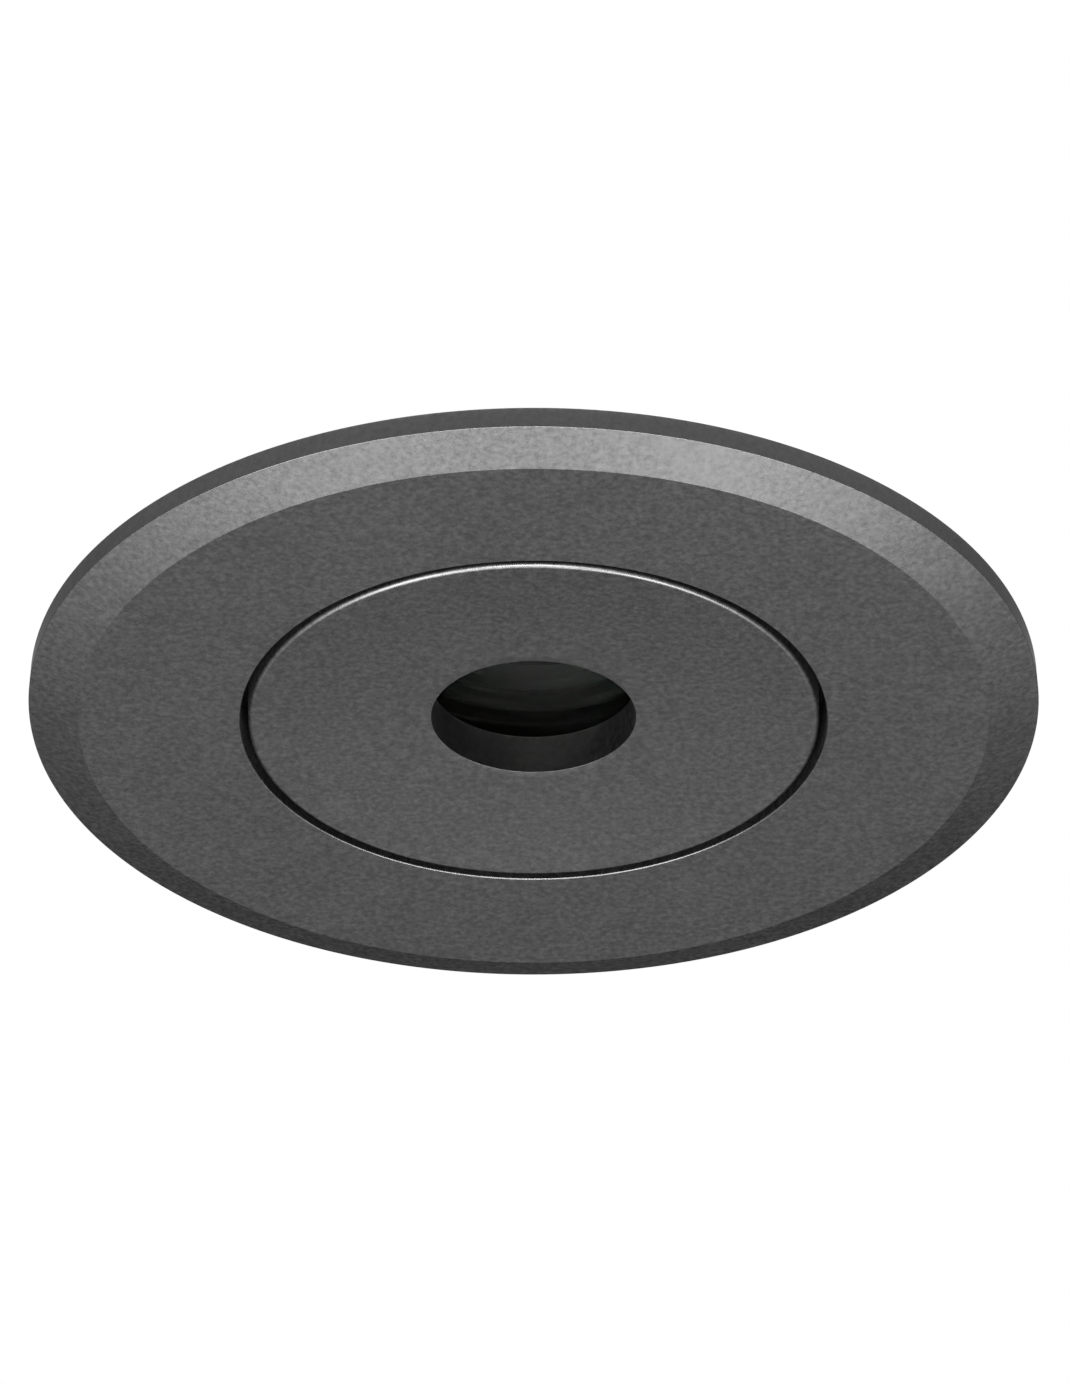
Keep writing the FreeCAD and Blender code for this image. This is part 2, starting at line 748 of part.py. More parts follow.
def heat_sink():
    """Flanged base with the LED cavity, finned core and wiring chamber, cast in one piece."""
    base = disc(collar_r, collar_top_z, sink_flange_top_z).cut(clip_flats(collar_top_z, sink_flange_top_z))
    core = turned_profile([
        (0, collar_top_z),
        (shoulder_r, collar_top_z),
        (shoulder_r, chamber_floor_z - core_edge_chamfer),
        (shoulder_r - core_edge_chamfer, chamber_floor_z),
        (core_r, chamber_floor_z),
        (core_r, core_top_z),
        (0, core_top_z),
    ])
    body = base.fuse([core] + fins())
    body = body.cut(disc(cavity_r, collar_top_z, floor_z))
    body = body.cut(disc(chamber_r, chamber_floor_z, core_top_z))
    housing_hole = disc(m3_thread_r + screw_hole_clearance, collar_top_z, sink_flange_top_z)
    body = body.cut(housing_pattern(housing_hole))
    led_depth = led_screw_length - led_holder_height - led_board_thickness - thermal_pad_thickness
    body = body.cut(led_pattern(disc(m25_thread_r + thread_clearance, floor_z, floor_z + led_depth)))
    body = body.cut(lead_holes(lead_hole_r, floor_z, chamber_floor_z))
    cover_depth = cover_screw_length - cover_thickness - cover_gasket_thickness + tapped_hole_allowance
    cover_hole = disc(m25_thread_r + thread_clearance, core_top_z - cover_depth, core_top_z)
    body = body.cut(cover_pattern(cover_hole))
    fixing_depth = terminal_fixing_length - terminal_block_height + terminal_fixing_pocket
    fixing_hole = disc(m25_thread_r + thread_clearance, chamber_floor_z - fixing_depth, chamber_floor_z)
    return body.cut(fixing_hole).removeSplitter()


# ------------------------------------------------------------------ rear cover
def cover_pattern(shape):
    """Copies of a shape at the cover's screws."""
    placed = moved(shape, Vec(cover_screw_circle_r, 0, 0))
    return round_pattern(placed, cover_screw_count, HALF_TURN / cover_screw_count)


def cover_gasket():
    """Flat ring under the cover."""
    body = ring(core_r, chamber_r, core_top_z, cover_z)
    return body.cut(cover_pattern(disc(m25_thread_r + screw_hole_clearance, core_top_z, cover_z)))


def rear_cover():
    """Round lid with the gland's hole in its middle."""
    body = turned_profile([
        (gland_thread_r + screw_hole_clearance, cover_z),
        (core_r, cover_z),
        (core_r, cover_top_z - cover_edge_chamfer),
        (core_r - cover_edge_chamfer, cover_top_z),
        (gland_thread_r + screw_hole_clearance, cover_top_z),
    ])
    return body.cut(cover_pattern(disc(m25_thread_r + screw_hole_clearance, cover_z, cover_top_z)))


def cover_screws():
    """Screws down through the lid."""
    screw = cheese_screw(m25_thread_r, m25_head_r, m25_head_height, cover_screw_length)
    return cover_pattern(moved(screw, Vec(0, 0, cover_top_z)))


# ------------------------------------------------------------------ cable gland
def gland_washer():
    """Sealing ring between the gland and the lid."""
    inner = gland_thread_r + seated_clearance
    return ring(inner + gland_washer_width, inner, cover_top_z, gland_hex_z)


def gland_body():
    """Threaded tail, hexagon and slotted neck round the seal's seat."""
    body = disc(gland_thread_r, cover_z - gland_tail, gland_hex_z)
    body = body.fuse([
        hexagon_nut(gland_hex_across, gland_hex_z, gland_neck_z),
        disc(gland_neck_r, gland_neck_z, gland_neck_top_z),
    ])
    body = body.cut(disc(gland_way_r, cover_z - gland_tail, gland_neck_top_z))
    return body.cut(disc(gland_seal_r + seated_clearance, gland_seal_z, gland_neck_top_z)).removeSplitter()


def gland_seal():
    """Rubber sleeve that grips the cable."""
    return ring(gland_seal_r, cable_bore_r, gland_seal_z, gland_seal_top_z)


def gland_nut():
    """Hexagonal cap with a domed top that squeezes the seal."""
    dome_base_r = gland_nut_across / 2 - hexagon_chamfer
    dome_mid = (
        (dome_base_r + gland_dome_r) / 2 + gland_dome_bulge,
        (gland_dome_z + gland_top_z) / 2 + gland_dome_bulge,
    )
    dome = lathe([
        line((0, gland_dome_z), (dome_base_r, gland_dome_z)),
        arc((dome_base_r, gland_dome_z), dome_mid, (gland_dome_r, gland_top_z)),
        line((gland_dome_r, gland_top_z), (0, gland_top_z)),
        line((0, gland_top_z), (0, gland_dome_z)),
    ])
    body = hexagon_nut(gland_nut_across, gland_nut_z, gland_dome_z).fuse(dome)
    body = body.cut(disc(gland_neck_r + seated_clearance, gland_nut_z, gland_seal_top_z))
    return body.cut(disc(gland_nut_way_r, gland_nut_z, gland_top_z)).removeSplitter()


def gland_locknut():
    """Hexagonal nut under the lid."""
    body = hexagon_nut(gland_hex_across, cover_z - gland_locknut_height, cover_z)
    return body.cut(disc(gland_thread_r + thread_clearance, cover_z - gland_locknut_height, cover_z))


# ------------------------------------------------------------------ terminal block and inner leads
def both_poles(shape):
    """Copies of a shape at the two poles of the terminal block."""
    return [moved(shape, Vec(side * lead_x, 0, 0)) for side in (-1, 1)]


def terminal_insert_box(spare):
    """Block that fills one pole's pocket, less spare on each side."""
    low = chamber_floor_z + terminal_insert_lift
    half_x = terminal_insert_width / 2 - spare
    half_y = terminal_insert_depth / 2 - spare
    high = low + terminal_insert_height
    return box(Vec(-half_x, -half_y, low + spare), Vec(half_x, half_y, high - spare))


def wire_way(radius):
    """Level hole through a pole for the wires, right through the block."""
    half_y = terminal_block_depth / 2
    return Part.makeCylinder(radius, terminal_block_depth, Vec(0, -half_y, lead_z), Y_AXIS)


def terminal_block():
    """Plastic body with a pocket, a wire way and a screw hole for each pole."""
    half_x = terminal_block_width / 2
    half_y = terminal_block_depth / 2
    top = chamber_floor_z + terminal_block_height
    body = box(Vec(-half_x, -half_y, chamber_floor_z), Vec(half_x, half_y, top))
    screw_way = disc(m25_thread_r + screw_hole_clearance, lead_z, top)
    for tool in (terminal_insert_box(0), wire_way(terminal_wire_way_r), screw_way):
        body = body.cut(both_poles(tool))
    body = body.cut(disc(m25_thread_r + screw_hole_clearance, chamber_floor_z, top))
    return body.cut(disc(m25_head_r + seated_clearance, top - terminal_fixing_pocket, top))


def terminal_inserts():
    """Brass clamps."""
    top = chamber_floor_z + terminal_block_height
    clamp = terminal_insert_box(seated_clearance).cut(wire_way(terminal_wire_way_r))
    return both_poles(clamp.cut(disc(m25_thread_r + thread_clearance, lead_z, top)))


def terminal_screws():
    """Slotted clamp screws that press on the wires."""
    low = chamber_floor_z + terminal_screw_lift
    high = low + terminal_screw_length
    half = terminal_screw_slot / 2
    slot = box(Vec(-m25_thread_r, -half, high - 2 * half), Vec(m25_thread_r, half, high))
    return both_poles(disc(m25_thread_r, low, high).cut(slot))


def terminal_fixing_screw():
    """Screw that holds the block to the chamber's floor."""
    head_z = chamber_floor_z + terminal_block_height - terminal_fixing_pocket
    screw = cheese_screw(m25_thread_r, m25_head_r, m25_head_height, terminal_fixing_length)
    return moved(screw, Vec(0, 0, head_z))


def inner_lead(side):
    """Lead from its clamp over one bend and down through the floor to the LED board."""
    start = Vec(side * lead_x, terminal_insert_depth / 2 - lead_grip, lead_z)
    corner = Vec(side * lead_x, lead_reach_y, lead_z)
    end = Vec(side * lead_x, lead_reach_y, board_front_z - lead_solder_proud)
    bend_r = lead_arc_share * min((corner - start).Length, (end - corner).Length)
    bend_start = corner - Vec(0, bend_r, 0)
    bend_end = corner - Vec(0, 0, bend_r)
    diagonal = bend_r * (1 - math.cos(math.radians(QUARTER_TURN / 2)))
    bend_middle = corner - Vec(0, diagonal, diagonal)
    route = Part.Wire([
        Part.LineSegment(start, bend_start).toShape(),
        Part.Arc(bend_start, bend_middle, bend_end).toShape(),
        Part.LineSegment(bend_end, end).toShape(),
    ])
    print("lead bend radius", round(bend_r, 2), "mm")
    return tube(route, start, Y_AXIS, lead_r)


def tube(route, start, direction, radius):
    """Round wire or lead along a route."""
    shell = Part.BRepOffsetAPI.MakePipeShell(route)
    shell.add(Part.Wire(Part.makeCircle(radius, start, direction)))
    shell.build()
    shell.makeSolid()
    return Part.Solid(shell.shape())


# ------------------------------------------------------------------ spring clips
# A clip is built at +X about its pin, and its twin is the same clip turned half round.
def at_pin(shape):
    """Copy of a shape, moved from the origin to the clip's pin."""
    return moved(shape, Vec(clip_pin_x, 0, clip_pin_z))


def drooped(shape):
    """Copy of a shape, turned from level down to the arm's resting angle about the pin."""
    copy = shape.copy()
    copy.rotate(ORIGIN, Y_AXIS, arm_droop)
    return copy


def tangent_point(outside, radius, turn):
    """Where a line from outside touches a circle about the origin; turn is 1 or -1 for its two sides."""
    distance = math.hypot(outside[0], outside[1])
    angle = math.atan2(outside[1], outside[0]) + turn * math.acos(radius / distance)
    return (radius * math.cos(angle), radius * math.sin(angle))


def pin_bar(radius, half_length):
    """Level cylinder about the pin's axis."""
    return Part.makeCylinder(radius, 2 * half_length, Vec(0, -half_length, 0), Y_AXIS)


def bracket_screw_holes(radius, start_x):
    """Level holes at the bracket's screws, inward from start_x, on both sides of the light."""
    depth = bracket_screw_length + tapped_hole_allowance
    holes = [
        Part.makeCylinder(radius, depth, Vec(start_x, side * bracket_screw_y, bracket_screw_z), -X_AXIS)
        for side in (-1, 1)
    ]
    return holes + [turned(hole, HALF_TURN) for hole in holes]


def bracket_ear(side):
    """Upright ear of the bracket, from its base plate to the pin."""
    foot_x = bracket_face_x - clip_pin_x - sheet_thickness / 2
    touch = tangent_point((foot_x, bracket_ear_foot), bracket_ear_r, -1)
    low_y = min(side * bracket_ear_inner_y, side * bracket_ear_outer_y)
    outline = [
        Vec(foot_x, low_y, -bracket_ear_foot),
        Vec(touch[0], low_y, -touch[1]),
        Vec(touch[0], low_y, touch[1]),
        Vec(foot_x, low_y, bracket_ear_foot),
    ]
    round_end = Part.makeCylinder(bracket_ear_r, sheet_thickness, Vec(0, low_y, 0), Y_AXIS)
    return prism(outline, Vec(0, sheet_thickness, 0)).fuse(round_end)


def clip_bracket():
    """Base plate on the collar's flat, with an ear at each end of the pin."""
    low_z = ledge_z + bracket_foot_gap
    wide_z = bracket_screw_z + bracket_wide_reach
    wide = box(
        Vec(flat_x, -bracket_half_width, low_z),
        Vec(bracket_face_x, bracket_half_width, wide_z),
    )
    tall = box(
        Vec(flat_x, -bracket_ear_outer_y, low_z),
        Vec(bracket_face_x, bracket_ear_outer_y, clip_pin_z + bracket_top_reach),
    )
    ears = [at_pin(bracket_ear(side)) for side in (-1, 1)]
    body = wide.fuse([tall] + ears)
    body = body.cut(at_pin(pin_bar(clip_pin_r + seated_clearance, bracket_ear_outer_y)))
    body = body.cut(bracket_screw_holes(m3_thread_r + screw_hole_clearance, bracket_face_x))
    return body.removeSplitter()


def bracket_screws():
    """Both screws of one bracket."""
    screw = cheese_screw(m3_thread_r, m3_head_r, m3_head_height, bracket_screw_length)
    screw.rotate(ORIGIN, Y_AXIS, QUARTER_TURN)
    return [
        moved(screw, Vec(bracket_face_x, side * bracket_screw_y, bracket_screw_z)) for side in (-1, 1)
    ]


def clip_pin():
    """Hinge pin, riveted over outside both ears."""
    half = bracket_ear_outer_y
    bar = pin_bar(clip_pin_r, half)
    near = Part.makeCylinder(clip_pin_head_r, clip_pin_head_height, Vec(0, half, 0), Y_AXIS)
    far = Part.makeCylinder(clip_pin_head_r, clip_pin_head_height, Vec(0, -half, 0), -Y_AXIS)
    return at_pin(bar.fuse([near, far]).removeSplitter())


def heel_reach():
    """How far the arm's web runs back, so that its heel stops on the base plate when sprung down."""
    droop = math.radians(arm_droop)
    room = clip_pin_x - bracket_face_x - heel_clearance
    return (room + arm_web_bottom * math.sin(droop)) / math.cos(droop)


def arm_ear(side):
    """Side wall of the arm: round at the pin and running out along the web."""
    touch = tangent_point((arm_ear_length, arm_web_top), arm_ear_r, 1)
    low_y = min(side * arm_ear_inner_y, side * arm_ear_outer_y)
    outline = [
        Vec(-arm_ear_r, low_y, 0),
        Vec(-heel_reach(), low_y, arm_web_bottom),
        Vec(arm_ear_length, low_y, arm_web_bottom),
        Vec(arm_ear_length, low_y, arm_web_top),
        Vec(touch[0], low_y, touch[1]),
        Vec(0, low_y, arm_ear_r / 2),
    ]
    round_end = Part.makeCylinder(arm_ear_r, arm_ear_thickness, Vec(0, low_y, 0), Y_AXIS)
    return prism(outline, Vec(0, arm_ear_thickness, 0)).fuse(round_end)


def clip_arm():
    """Pressed channel that turns on the pin, with the spring between its side walls."""
    web = box(
        Vec(-heel_reach(), -arm_ear_outer_y, arm_web_bottom),
        Vec(arm_length, arm_ear_outer_y, arm_web_top),
    )
    end_edges = [
        edge for edge in web.Edges
        if edge.CenterOfMass.x > arm_length - arm_sheet and abs(edge.CenterOfMass.y) > arm_ear_inner_y
    ]
    web = web.makeFillet(arm_end_round, end_edges)
    body = web.fuse([arm_ear(side) for side in (-1, 1)])
    body = body.cut(pin_bar(clip_pin_r + running_clearance, arm_ear_outer_y))
    return at_pin(drooped(body.removeSplitter()))


def clip_tip():
    """Rubber sleeve pushed over the arm's end."""
    start = arm_length + tip_overrun - tip_length
    body = box(
        Vec(start, -arm_ear_outer_y - tip_wall, arm_web_bottom - tip_wall),
        Vec(arm_length + tip_overrun, arm_ear_outer_y + tip_wall, arm_web_top + tip_wall),
    )
    long_edges = [edge for edge in body.Edges if edge.Length > tip_wall * 2 + arm_sheet + tip_round]
    body = body.makeFillet(tip_round, long_edges)
    room_y = arm_ear_outer_y + seated_clearance
    pocket = box(
        Vec(start, -room_y, arm_web_bottom - seated_clearance),
        Vec(arm_length + seated_clearance, room_y, arm_web_top + seated_clearance),
    )
    return at_pin(drooped(body.cut(pocket)))


def spring_point(turn):
    """Point on the middle of the wire after a number of turns, about the pin."""
    angle = math.radians(HALF_TURN + turn * FULL_TURN)
    y = turn * spring_pitch - spring_half_width
    return Vec(spring_coil_r * math.cos(angle), y, spring_coil_r * math.sin(angle))


def spring_direction(turn):
    """Direction of the wire after a number of turns."""
    angle = math.radians(HALF_TURN + turn * FULL_TURN)
    climb = spring_pitch / (2 * math.pi)
    return Vec(-spring_coil_r * math.sin(angle), climb, spring_coil_r * math.cos(angle)).normalize()


def tangent_arc(start, corner, end):
    """Arc from start to end whose tangents meet at corner."""
    chord_middle = (start + end) * (1 / 2)
    cosine = (end - start).Length / 2 / (corner - start).Length
    middle = chord_middle + (corner - chord_middle) * (cosine / (1 + cosine))
    return Part.Arc(start, middle, end).toShape()


def biarc(start, start_direction, end, end_direction):
    """Two arcs that join two points with the given directions."""
    across = end - start
    both = start_direction + end_direction
    spread = 2 * (1 - start_direction.dot(end_direction))
    along = across.dot(both)
    reach = (math.sqrt(along ** 2 + spread * across.dot(across)) - along) / spread
    first_corner = start + start_direction * reach
    second_corner = end - end_direction * reach
    joint = (first_corner + second_corner) * (1 / 2)
    return [tangent_arc(start, first_corner, joint), tangent_arc(joint, second_corner, end)]


def spring_turn_stops():
    """Places along the coil, in turns, where one pair of arcs meets the next."""
    spans = math.floor(spring_turns * spring_spans_per_turn)
    stops = [index / spring_spans_per_turn for index in range(spans)]
    return stops + [spring_turns]


def print_spring_gap():
    """Measure the least gap from each turn of the spring to the next, on points."""
    steps = spring_gap_samples
    first_turn = [spring_point(index / steps) for index in range(steps)]
    next_turns = [spring_point(1 / 2 + index / steps) for index in range(steps * 2)]
    gap = min(
        (near - far).Length
        for index, near in enumerate(first_turn)
        for far in next_turns[index:]
    )
    print("spring gap to itself", round(gap - 2 * spring_wire_r, 2), "mm")


def clip_spring():
    """Torsion spring: one leg up the base plate, the coil about the pin and one leg on the arm's web."""
    stops = spring_turn_stops()
    first = spring_point(0)
    last = spring_point(spring_turns)
    fixed_end = first - spring_direction(0) * spring_fixed_leg
    arm_end = last + spring_direction(spring_turns) * spring_arm_leg
    edges = [Part.LineSegment(fixed_end, first).toShape()]
    for low, high in zip(stops, stops[1:]):
        edges += biarc(spring_point(low), spring_direction(low), spring_point(high), spring_direction(high))
    edges.append(Part.LineSegment(last, arm_end).toShape())
    print_spring_gap()
    return at_pin(tube(Part.Wire(edges), fixed_end, spring_direction(0), spring_wire_r))


# ------------------------------------------------------------------ assembly
def export(name, shapes):
    """Write one node as a STEP file, from one shape or a list of separate solids."""
    shape = Part.makeCompound(shapes) if isinstance(shapes, list) else shapes
    shape.exportStep(f"parts/{name}.step")
    state = "valid" if shape.isValid() else "BAD"
    print(name, len(shape.Solids), "solids", round(shape.Volume, 1), "mm3", state)


def both_sides(name, shape):
    """Nodes of a clip piece and of its twin on the other side of the light."""
    return {f"{name}_right": shape, f"{name}_left": turned(shape, HALF_TURN)}


def main():
    """Build every node and write it."""
    screws = bracket_screws()
    nodes = {
        "trim_ring": trim_ring(),
        "soffit_gasket": soffit_gasket(),
        "pinhole_plate": pinhole_plate(),
        "plate_magnets": magnet_pattern(),
        "retaining_ring": retaining_ring(),
        "retaining_ring_screws": retaining_screws(),
        "front_glass": front_glass(),
        "glass_gasket": glass_gasket(),
        "anti_glare_baffle": anti_glare_baffle(),
        "tir_lens": tir_lens(),
        "lens_holder": lens_holder(),
        "led_holder": led_holder(),
        "led_emitter": led_emitter(),
        "led_board": led_board(),
        "thermal_pad": thermal_pad(),
        "led_screws": led_screws(),
        "housing_seal": housing_seal(),
        "housing_screws": housing_screws(),
        "heat_sink": heat_sink(),
        "cover_gasket": cover_gasket(),
        "rear_cover": rear_cover(),
        "cover_screws": cover_screws(),
        "gland_washer": gland_washer(),
        "gland_body": gland_body(),
        "gland_seal": gland_seal(),
        "gland_nut": gland_nut(),
        "gland_locknut": gland_locknut(),
        "terminal_block": terminal_block(),
        "terminal_inserts": terminal_inserts(),
        "terminal_screws": terminal_screws(),
        "terminal_fixing_screw": terminal_fixing_screw(),
        "led_lead_positive": inner_lead(1),
        "led_lead_negative": inner_lead(-1),
        "clip_bracket_screws": screws + [turned(screw, HALF_TURN) for screw in screws],
        **both_sides("clip_bracket", clip_bracket()),
        **both_sides("clip_pin", clip_pin()),
        **both_sides("clip_spring", clip_spring()),
        **both_sides("clip_arm", clip_arm()),
        **both_sides("clip_tip", clip_tip()),
    }
    os.makedirs("parts", exist_ok=True)
    for name, shapes in nodes.items():
        export(name, shapes)


main()
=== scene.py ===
"""Recessed soffit downlight with a flush pinhole plate, seen from below in its white soffit.

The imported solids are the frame. The turned trim, the finned can, the clips and the optics are rebuilt here
with fine edges and finishes, and every other solid keeps its shape and gets its finish. Sizes are in
millimetres.
"""

import json
import logging
import math
from collections.abc import Iterable, Sequence
from dataclasses import dataclass
from enum import Enum
from typing import Any

import bmesh
import bpy
from mathutils import Matrix, Vector

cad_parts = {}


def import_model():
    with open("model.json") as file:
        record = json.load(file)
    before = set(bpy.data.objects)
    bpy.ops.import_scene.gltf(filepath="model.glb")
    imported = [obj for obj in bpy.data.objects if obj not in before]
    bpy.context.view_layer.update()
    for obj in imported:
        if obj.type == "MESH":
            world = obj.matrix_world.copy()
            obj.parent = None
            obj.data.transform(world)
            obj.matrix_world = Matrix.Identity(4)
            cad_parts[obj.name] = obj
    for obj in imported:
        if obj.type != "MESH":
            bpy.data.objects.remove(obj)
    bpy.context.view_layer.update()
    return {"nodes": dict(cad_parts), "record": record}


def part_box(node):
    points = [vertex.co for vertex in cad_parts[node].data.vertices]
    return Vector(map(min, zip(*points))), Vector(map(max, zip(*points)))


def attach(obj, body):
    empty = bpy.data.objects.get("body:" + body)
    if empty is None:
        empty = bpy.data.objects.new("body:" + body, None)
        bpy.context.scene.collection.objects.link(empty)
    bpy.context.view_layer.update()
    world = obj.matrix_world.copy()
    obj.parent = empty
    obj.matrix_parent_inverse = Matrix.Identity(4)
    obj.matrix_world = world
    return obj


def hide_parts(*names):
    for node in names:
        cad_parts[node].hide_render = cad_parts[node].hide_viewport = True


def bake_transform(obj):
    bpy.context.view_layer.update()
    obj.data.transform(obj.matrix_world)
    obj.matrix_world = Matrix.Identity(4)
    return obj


LOG = logging.getLogger("downlight")
MM = 0.001
ROOT_BODY = "housing"
FULL_TURN = 2 * math.pi
SMOOTH_BELOW = math.radians(38)     # faces that meet at less than this are shaded as one surface
FINE_DIVISION = 256                 # places round the trim and the plate
DIVISION = 144                      # places round the can's turned pieces, a multiple of six
SMALL_DIVISION = 48                 # places round screw heads and pins
ARC_STEPS = 4                       # faces along one rounded edge
GRAIN_RANGE = (0.3, 0.7)            # where most of a noise's values lie


# ---------------------------------------------------------------- colour and nodes
def linear(colour: str) -> tuple[float, float, float, float]:
    """Turn an sRGB hex colour into Blender's linear colour.

    Args:
        colour: The colour as "#rrggbb".

    Returns:
        Red, green, blue and an alpha of one.
    """
    channels = [int(colour[start:start + 2], 16) / 255 for start in (1, 3, 5)]
    red, green, blue = (
        value / 12.92 if value <= 0.04045 else ((value + 0.055) / 1.055) ** 2.4
        for value in channels
    )
    return (red, green, blue, 1.0)


def add_node(
    tree: bpy.types.NodeTree,
    kind: str,
    settings: dict[str | int, Any] | None = None,
    links: dict[str | int, bpy.types.NodeSocket] | None = None,
) -> bpy.types.Node:
    """Add one node with its settings and its incoming links.

    Args:
        tree: The tree that gets the node.
        kind: Blender's name of the node's type.
        settings: Values by input name or number, or by the node's own attribute.
        links: Sockets of other nodes by the input that they feed.

    Returns:
        The new node.
    """
    node = tree.nodes.new(kind)
    for key, value in (settings or {}).items():
        if isinstance(key, int) or key in node.inputs:
            node.inputs[key].default_value = value
        else:
            setattr(node, key, value)
    for key, socket in (links or {}).items():
        tree.links.new(socket, node.inputs[key])
    return node


def texture(
    tree: bpy.types.NodeTree,
    kind: str,
    grain: float,
    stretch: tuple[float, float, float] | None = None,
    **settings: float,
) -> bpy.types.Node:
    """Add a texture that lies in the object's own space.

    Args:
        tree: The material's tree.
        kind: Blender's name of the texture node.
        grain: Millimetres across one grain.
        stretch: Scale along each axis where the grain isn't even.
        settings: Values by input name.

    Returns:
        The texture node.
    """
    place = add_node(tree, "ShaderNodeTexCoord").outputs["Object"]
    if stretch is not None:
        place = add_node(tree, "ShaderNodeMapping", {"Scale": stretch}, {"Vector": place}).outputs["Vector"]
    return add_node(tree, kind, {"Scale": 1 / (grain * MM), **settings}, {"Vector": place})


def empty_material(name: str) -> bpy.types.Material:
    """New material with nothing in its tree."""
    material = bpy.data.materials.new(name)
    material.use_nodes = True
    material.node_tree.nodes.clear()
    return material


def linked(name: str, data: bpy.types.ID) -> bpy.types.Object:
    """New object in the scene."""
    item = bpy.data.objects.new(name, data)
    bpy.context.scene.collection.objects.link(item)
    return item


def faced(name: str, data: bpy.types.ID, place: Vector, toward: Vector) -> bpy.types.Object:
    """New lamp or camera at a place in millimetres, with its back to a direction."""
    item = linked(name, data)
    item.location = place * MM
    item.rotation_mode = "QUATERNION"
    item.rotation_quaternion = toward.to_track_quat("Z", "Y")
    return item


# ---------------------------------------------------------------- finishes
@dataclass(frozen=True)
class Finish:
    """A surface: its name, the record's slot, its colours, and its roughness.

    The colour wanders between its two hex values over the grain, and the roughness wanders with it.
    """

    name: str
    slot: str
    colour: str
    fleck: str
    roughness: float
    grain: float                    # millimetres across one grain
    relief: float                   # millimetres from the grain's valleys to its tops
    roughness_spread: float = 0.06
    metallic: float = 0.0

    def material(self) -> bpy.types.Material:
        """The finish as a material, made once."""
        made = bpy.data.materials.get(self.name)
        if made is None:
            made = empty_material(self.name)
            self.wire(made.node_tree)
        return made

    def pattern(self, tree: bpy.types.NodeTree) -> bpy.types.NodeSocket:
        """The grain as one value from nought to one.

        Args:
            tree: The material's tree.

        Returns:
            The socket that carries the value.
        """
        return texture(tree, "ShaderNodeTexNoise", self.grain, Detail=3.0, Roughness=0.6).outputs["Fac"]

    def shader(self, tree: bpy.types.NodeTree) -> bpy.types.Node:
        """The surface shader with the settings that are the same all over."""
        return add_node(tree, "ShaderNodeBsdfPrincipled", {"Metallic": self.metallic})

    def wire(self, tree: bpy.types.NodeTree) -> None:
        """Fill the material's tree with the shader, its colour, roughness and relief.

        Args:
            tree: The material's empty tree.
        """
        pattern = self.pattern(tree)
        shader = self.shader(tree)
        low, high = GRAIN_RANGE
        tint = add_node(tree, "ShaderNodeValToRGB", links={"Fac": pattern})
        for stop, position, colour in zip(tint.color_ramp.elements, GRAIN_RANGE, (self.colour, self.fleck)):
            stop.position = position
            stop.color = linear(colour)
        gloss = add_node(
            tree,
            "ShaderNodeMapRange",
            {
                "From Min": low,
                "From Max": high,
                "To Min": self.roughness - self.roughness_spread,
                "To Max": self.roughness + self.roughness_spread,
            },
            {"Value": pattern},
        )
        bump = add_node(tree, "ShaderNodeBump", {"Distance": self.relief * MM}, {"Height": pattern})
        tree.links.new(tint.outputs["Color"], shader.inputs["Base Color"])
        tree.links.new(gloss.outputs["Result"], shader.inputs["Roughness"])
        tree.links.new(bump.outputs["Normal"], shader.inputs["Normal"])
        add_node(tree, "ShaderNodeOutputMaterial", links={"Surface": shader.outputs["BSDF"]})


@dataclass(frozen=True)
class BlastedAnodising(Finish):
    """Aluminium, turned, bead-blasted and dyed dark grey.

    The blasting leaves pits finer than a pixel. They are drawn coarser, as a change of shade more than of
    relief, which shows as the fine mottling of the lit bevel. A second, wide pattern gives the faint
    cloudiness of the dye.
    """

    cloud: float = 14.0             # millimetres across one cloud of the dye
    cloud_share: float = 0.12
    edge_tint: float = 0.45         # share of a plain metal's shine that is left at a slant

    def shader(self, tree: bpy.types.NodeTree) -> bpy.types.Node:
        """A metal whose dyed oxide swallows most of the light that strikes it at a slant."""
        tint = (self.edge_tint,) * 3 + (1.0,)
        return add_node(
            tree, "ShaderNodeBsdfPrincipled", {"Metallic": self.metallic, "Specular Tint": tint}
        )

    def pattern(self, tree: bpy.types.NodeTree) -> bpy.types.NodeSocket:
        """Pits, with a little of the wide cloud added."""
        pits = texture(tree, "ShaderNodeTexNoise", self.grain, Detail=2.0, Roughness=0.7)
        cloud = texture(tree, "ShaderNodeTexNoise", self.cloud, Detail=2.0)
        mixed = add_node(
            tree,
            "ShaderNodeMix",
            {"Factor": self.cloud_share},
            {"A": pits.outputs["Fac"], "B": cloud.outputs["Fac"]},
        )
        return mixed.outputs["Result"]


@dataclass(frozen=True)
class Drawn(Finish):
    """Metal rolled or drawn in one direction, whose lines are long along it and fine across it."""

    stretch: tuple[float, float, float] = (1.0, 1.0, 0.06)

    def pattern(self, tree: bpy.types.NodeTree) -> bpy.types.NodeSocket:
        """Noise pulled out along the drawing direction."""
        lines = texture(tree, "ShaderNodeTexNoise", self.grain, self.stretch, Detail=4.0, Roughness=0.65)
        return lines.outputs["Fac"]


@dataclass(frozen=True)
class Foam(Finish):
    """Closed-cell foam, whose cut cells show as small round pits."""

    def pattern(self, tree: bpy.types.NodeTree) -> bpy.types.NodeSocket:
        """Distance to the middle of the nearest cell."""
        return texture(tree, "ShaderNodeTexVoronoi", self.grain).outputs["Distance"]


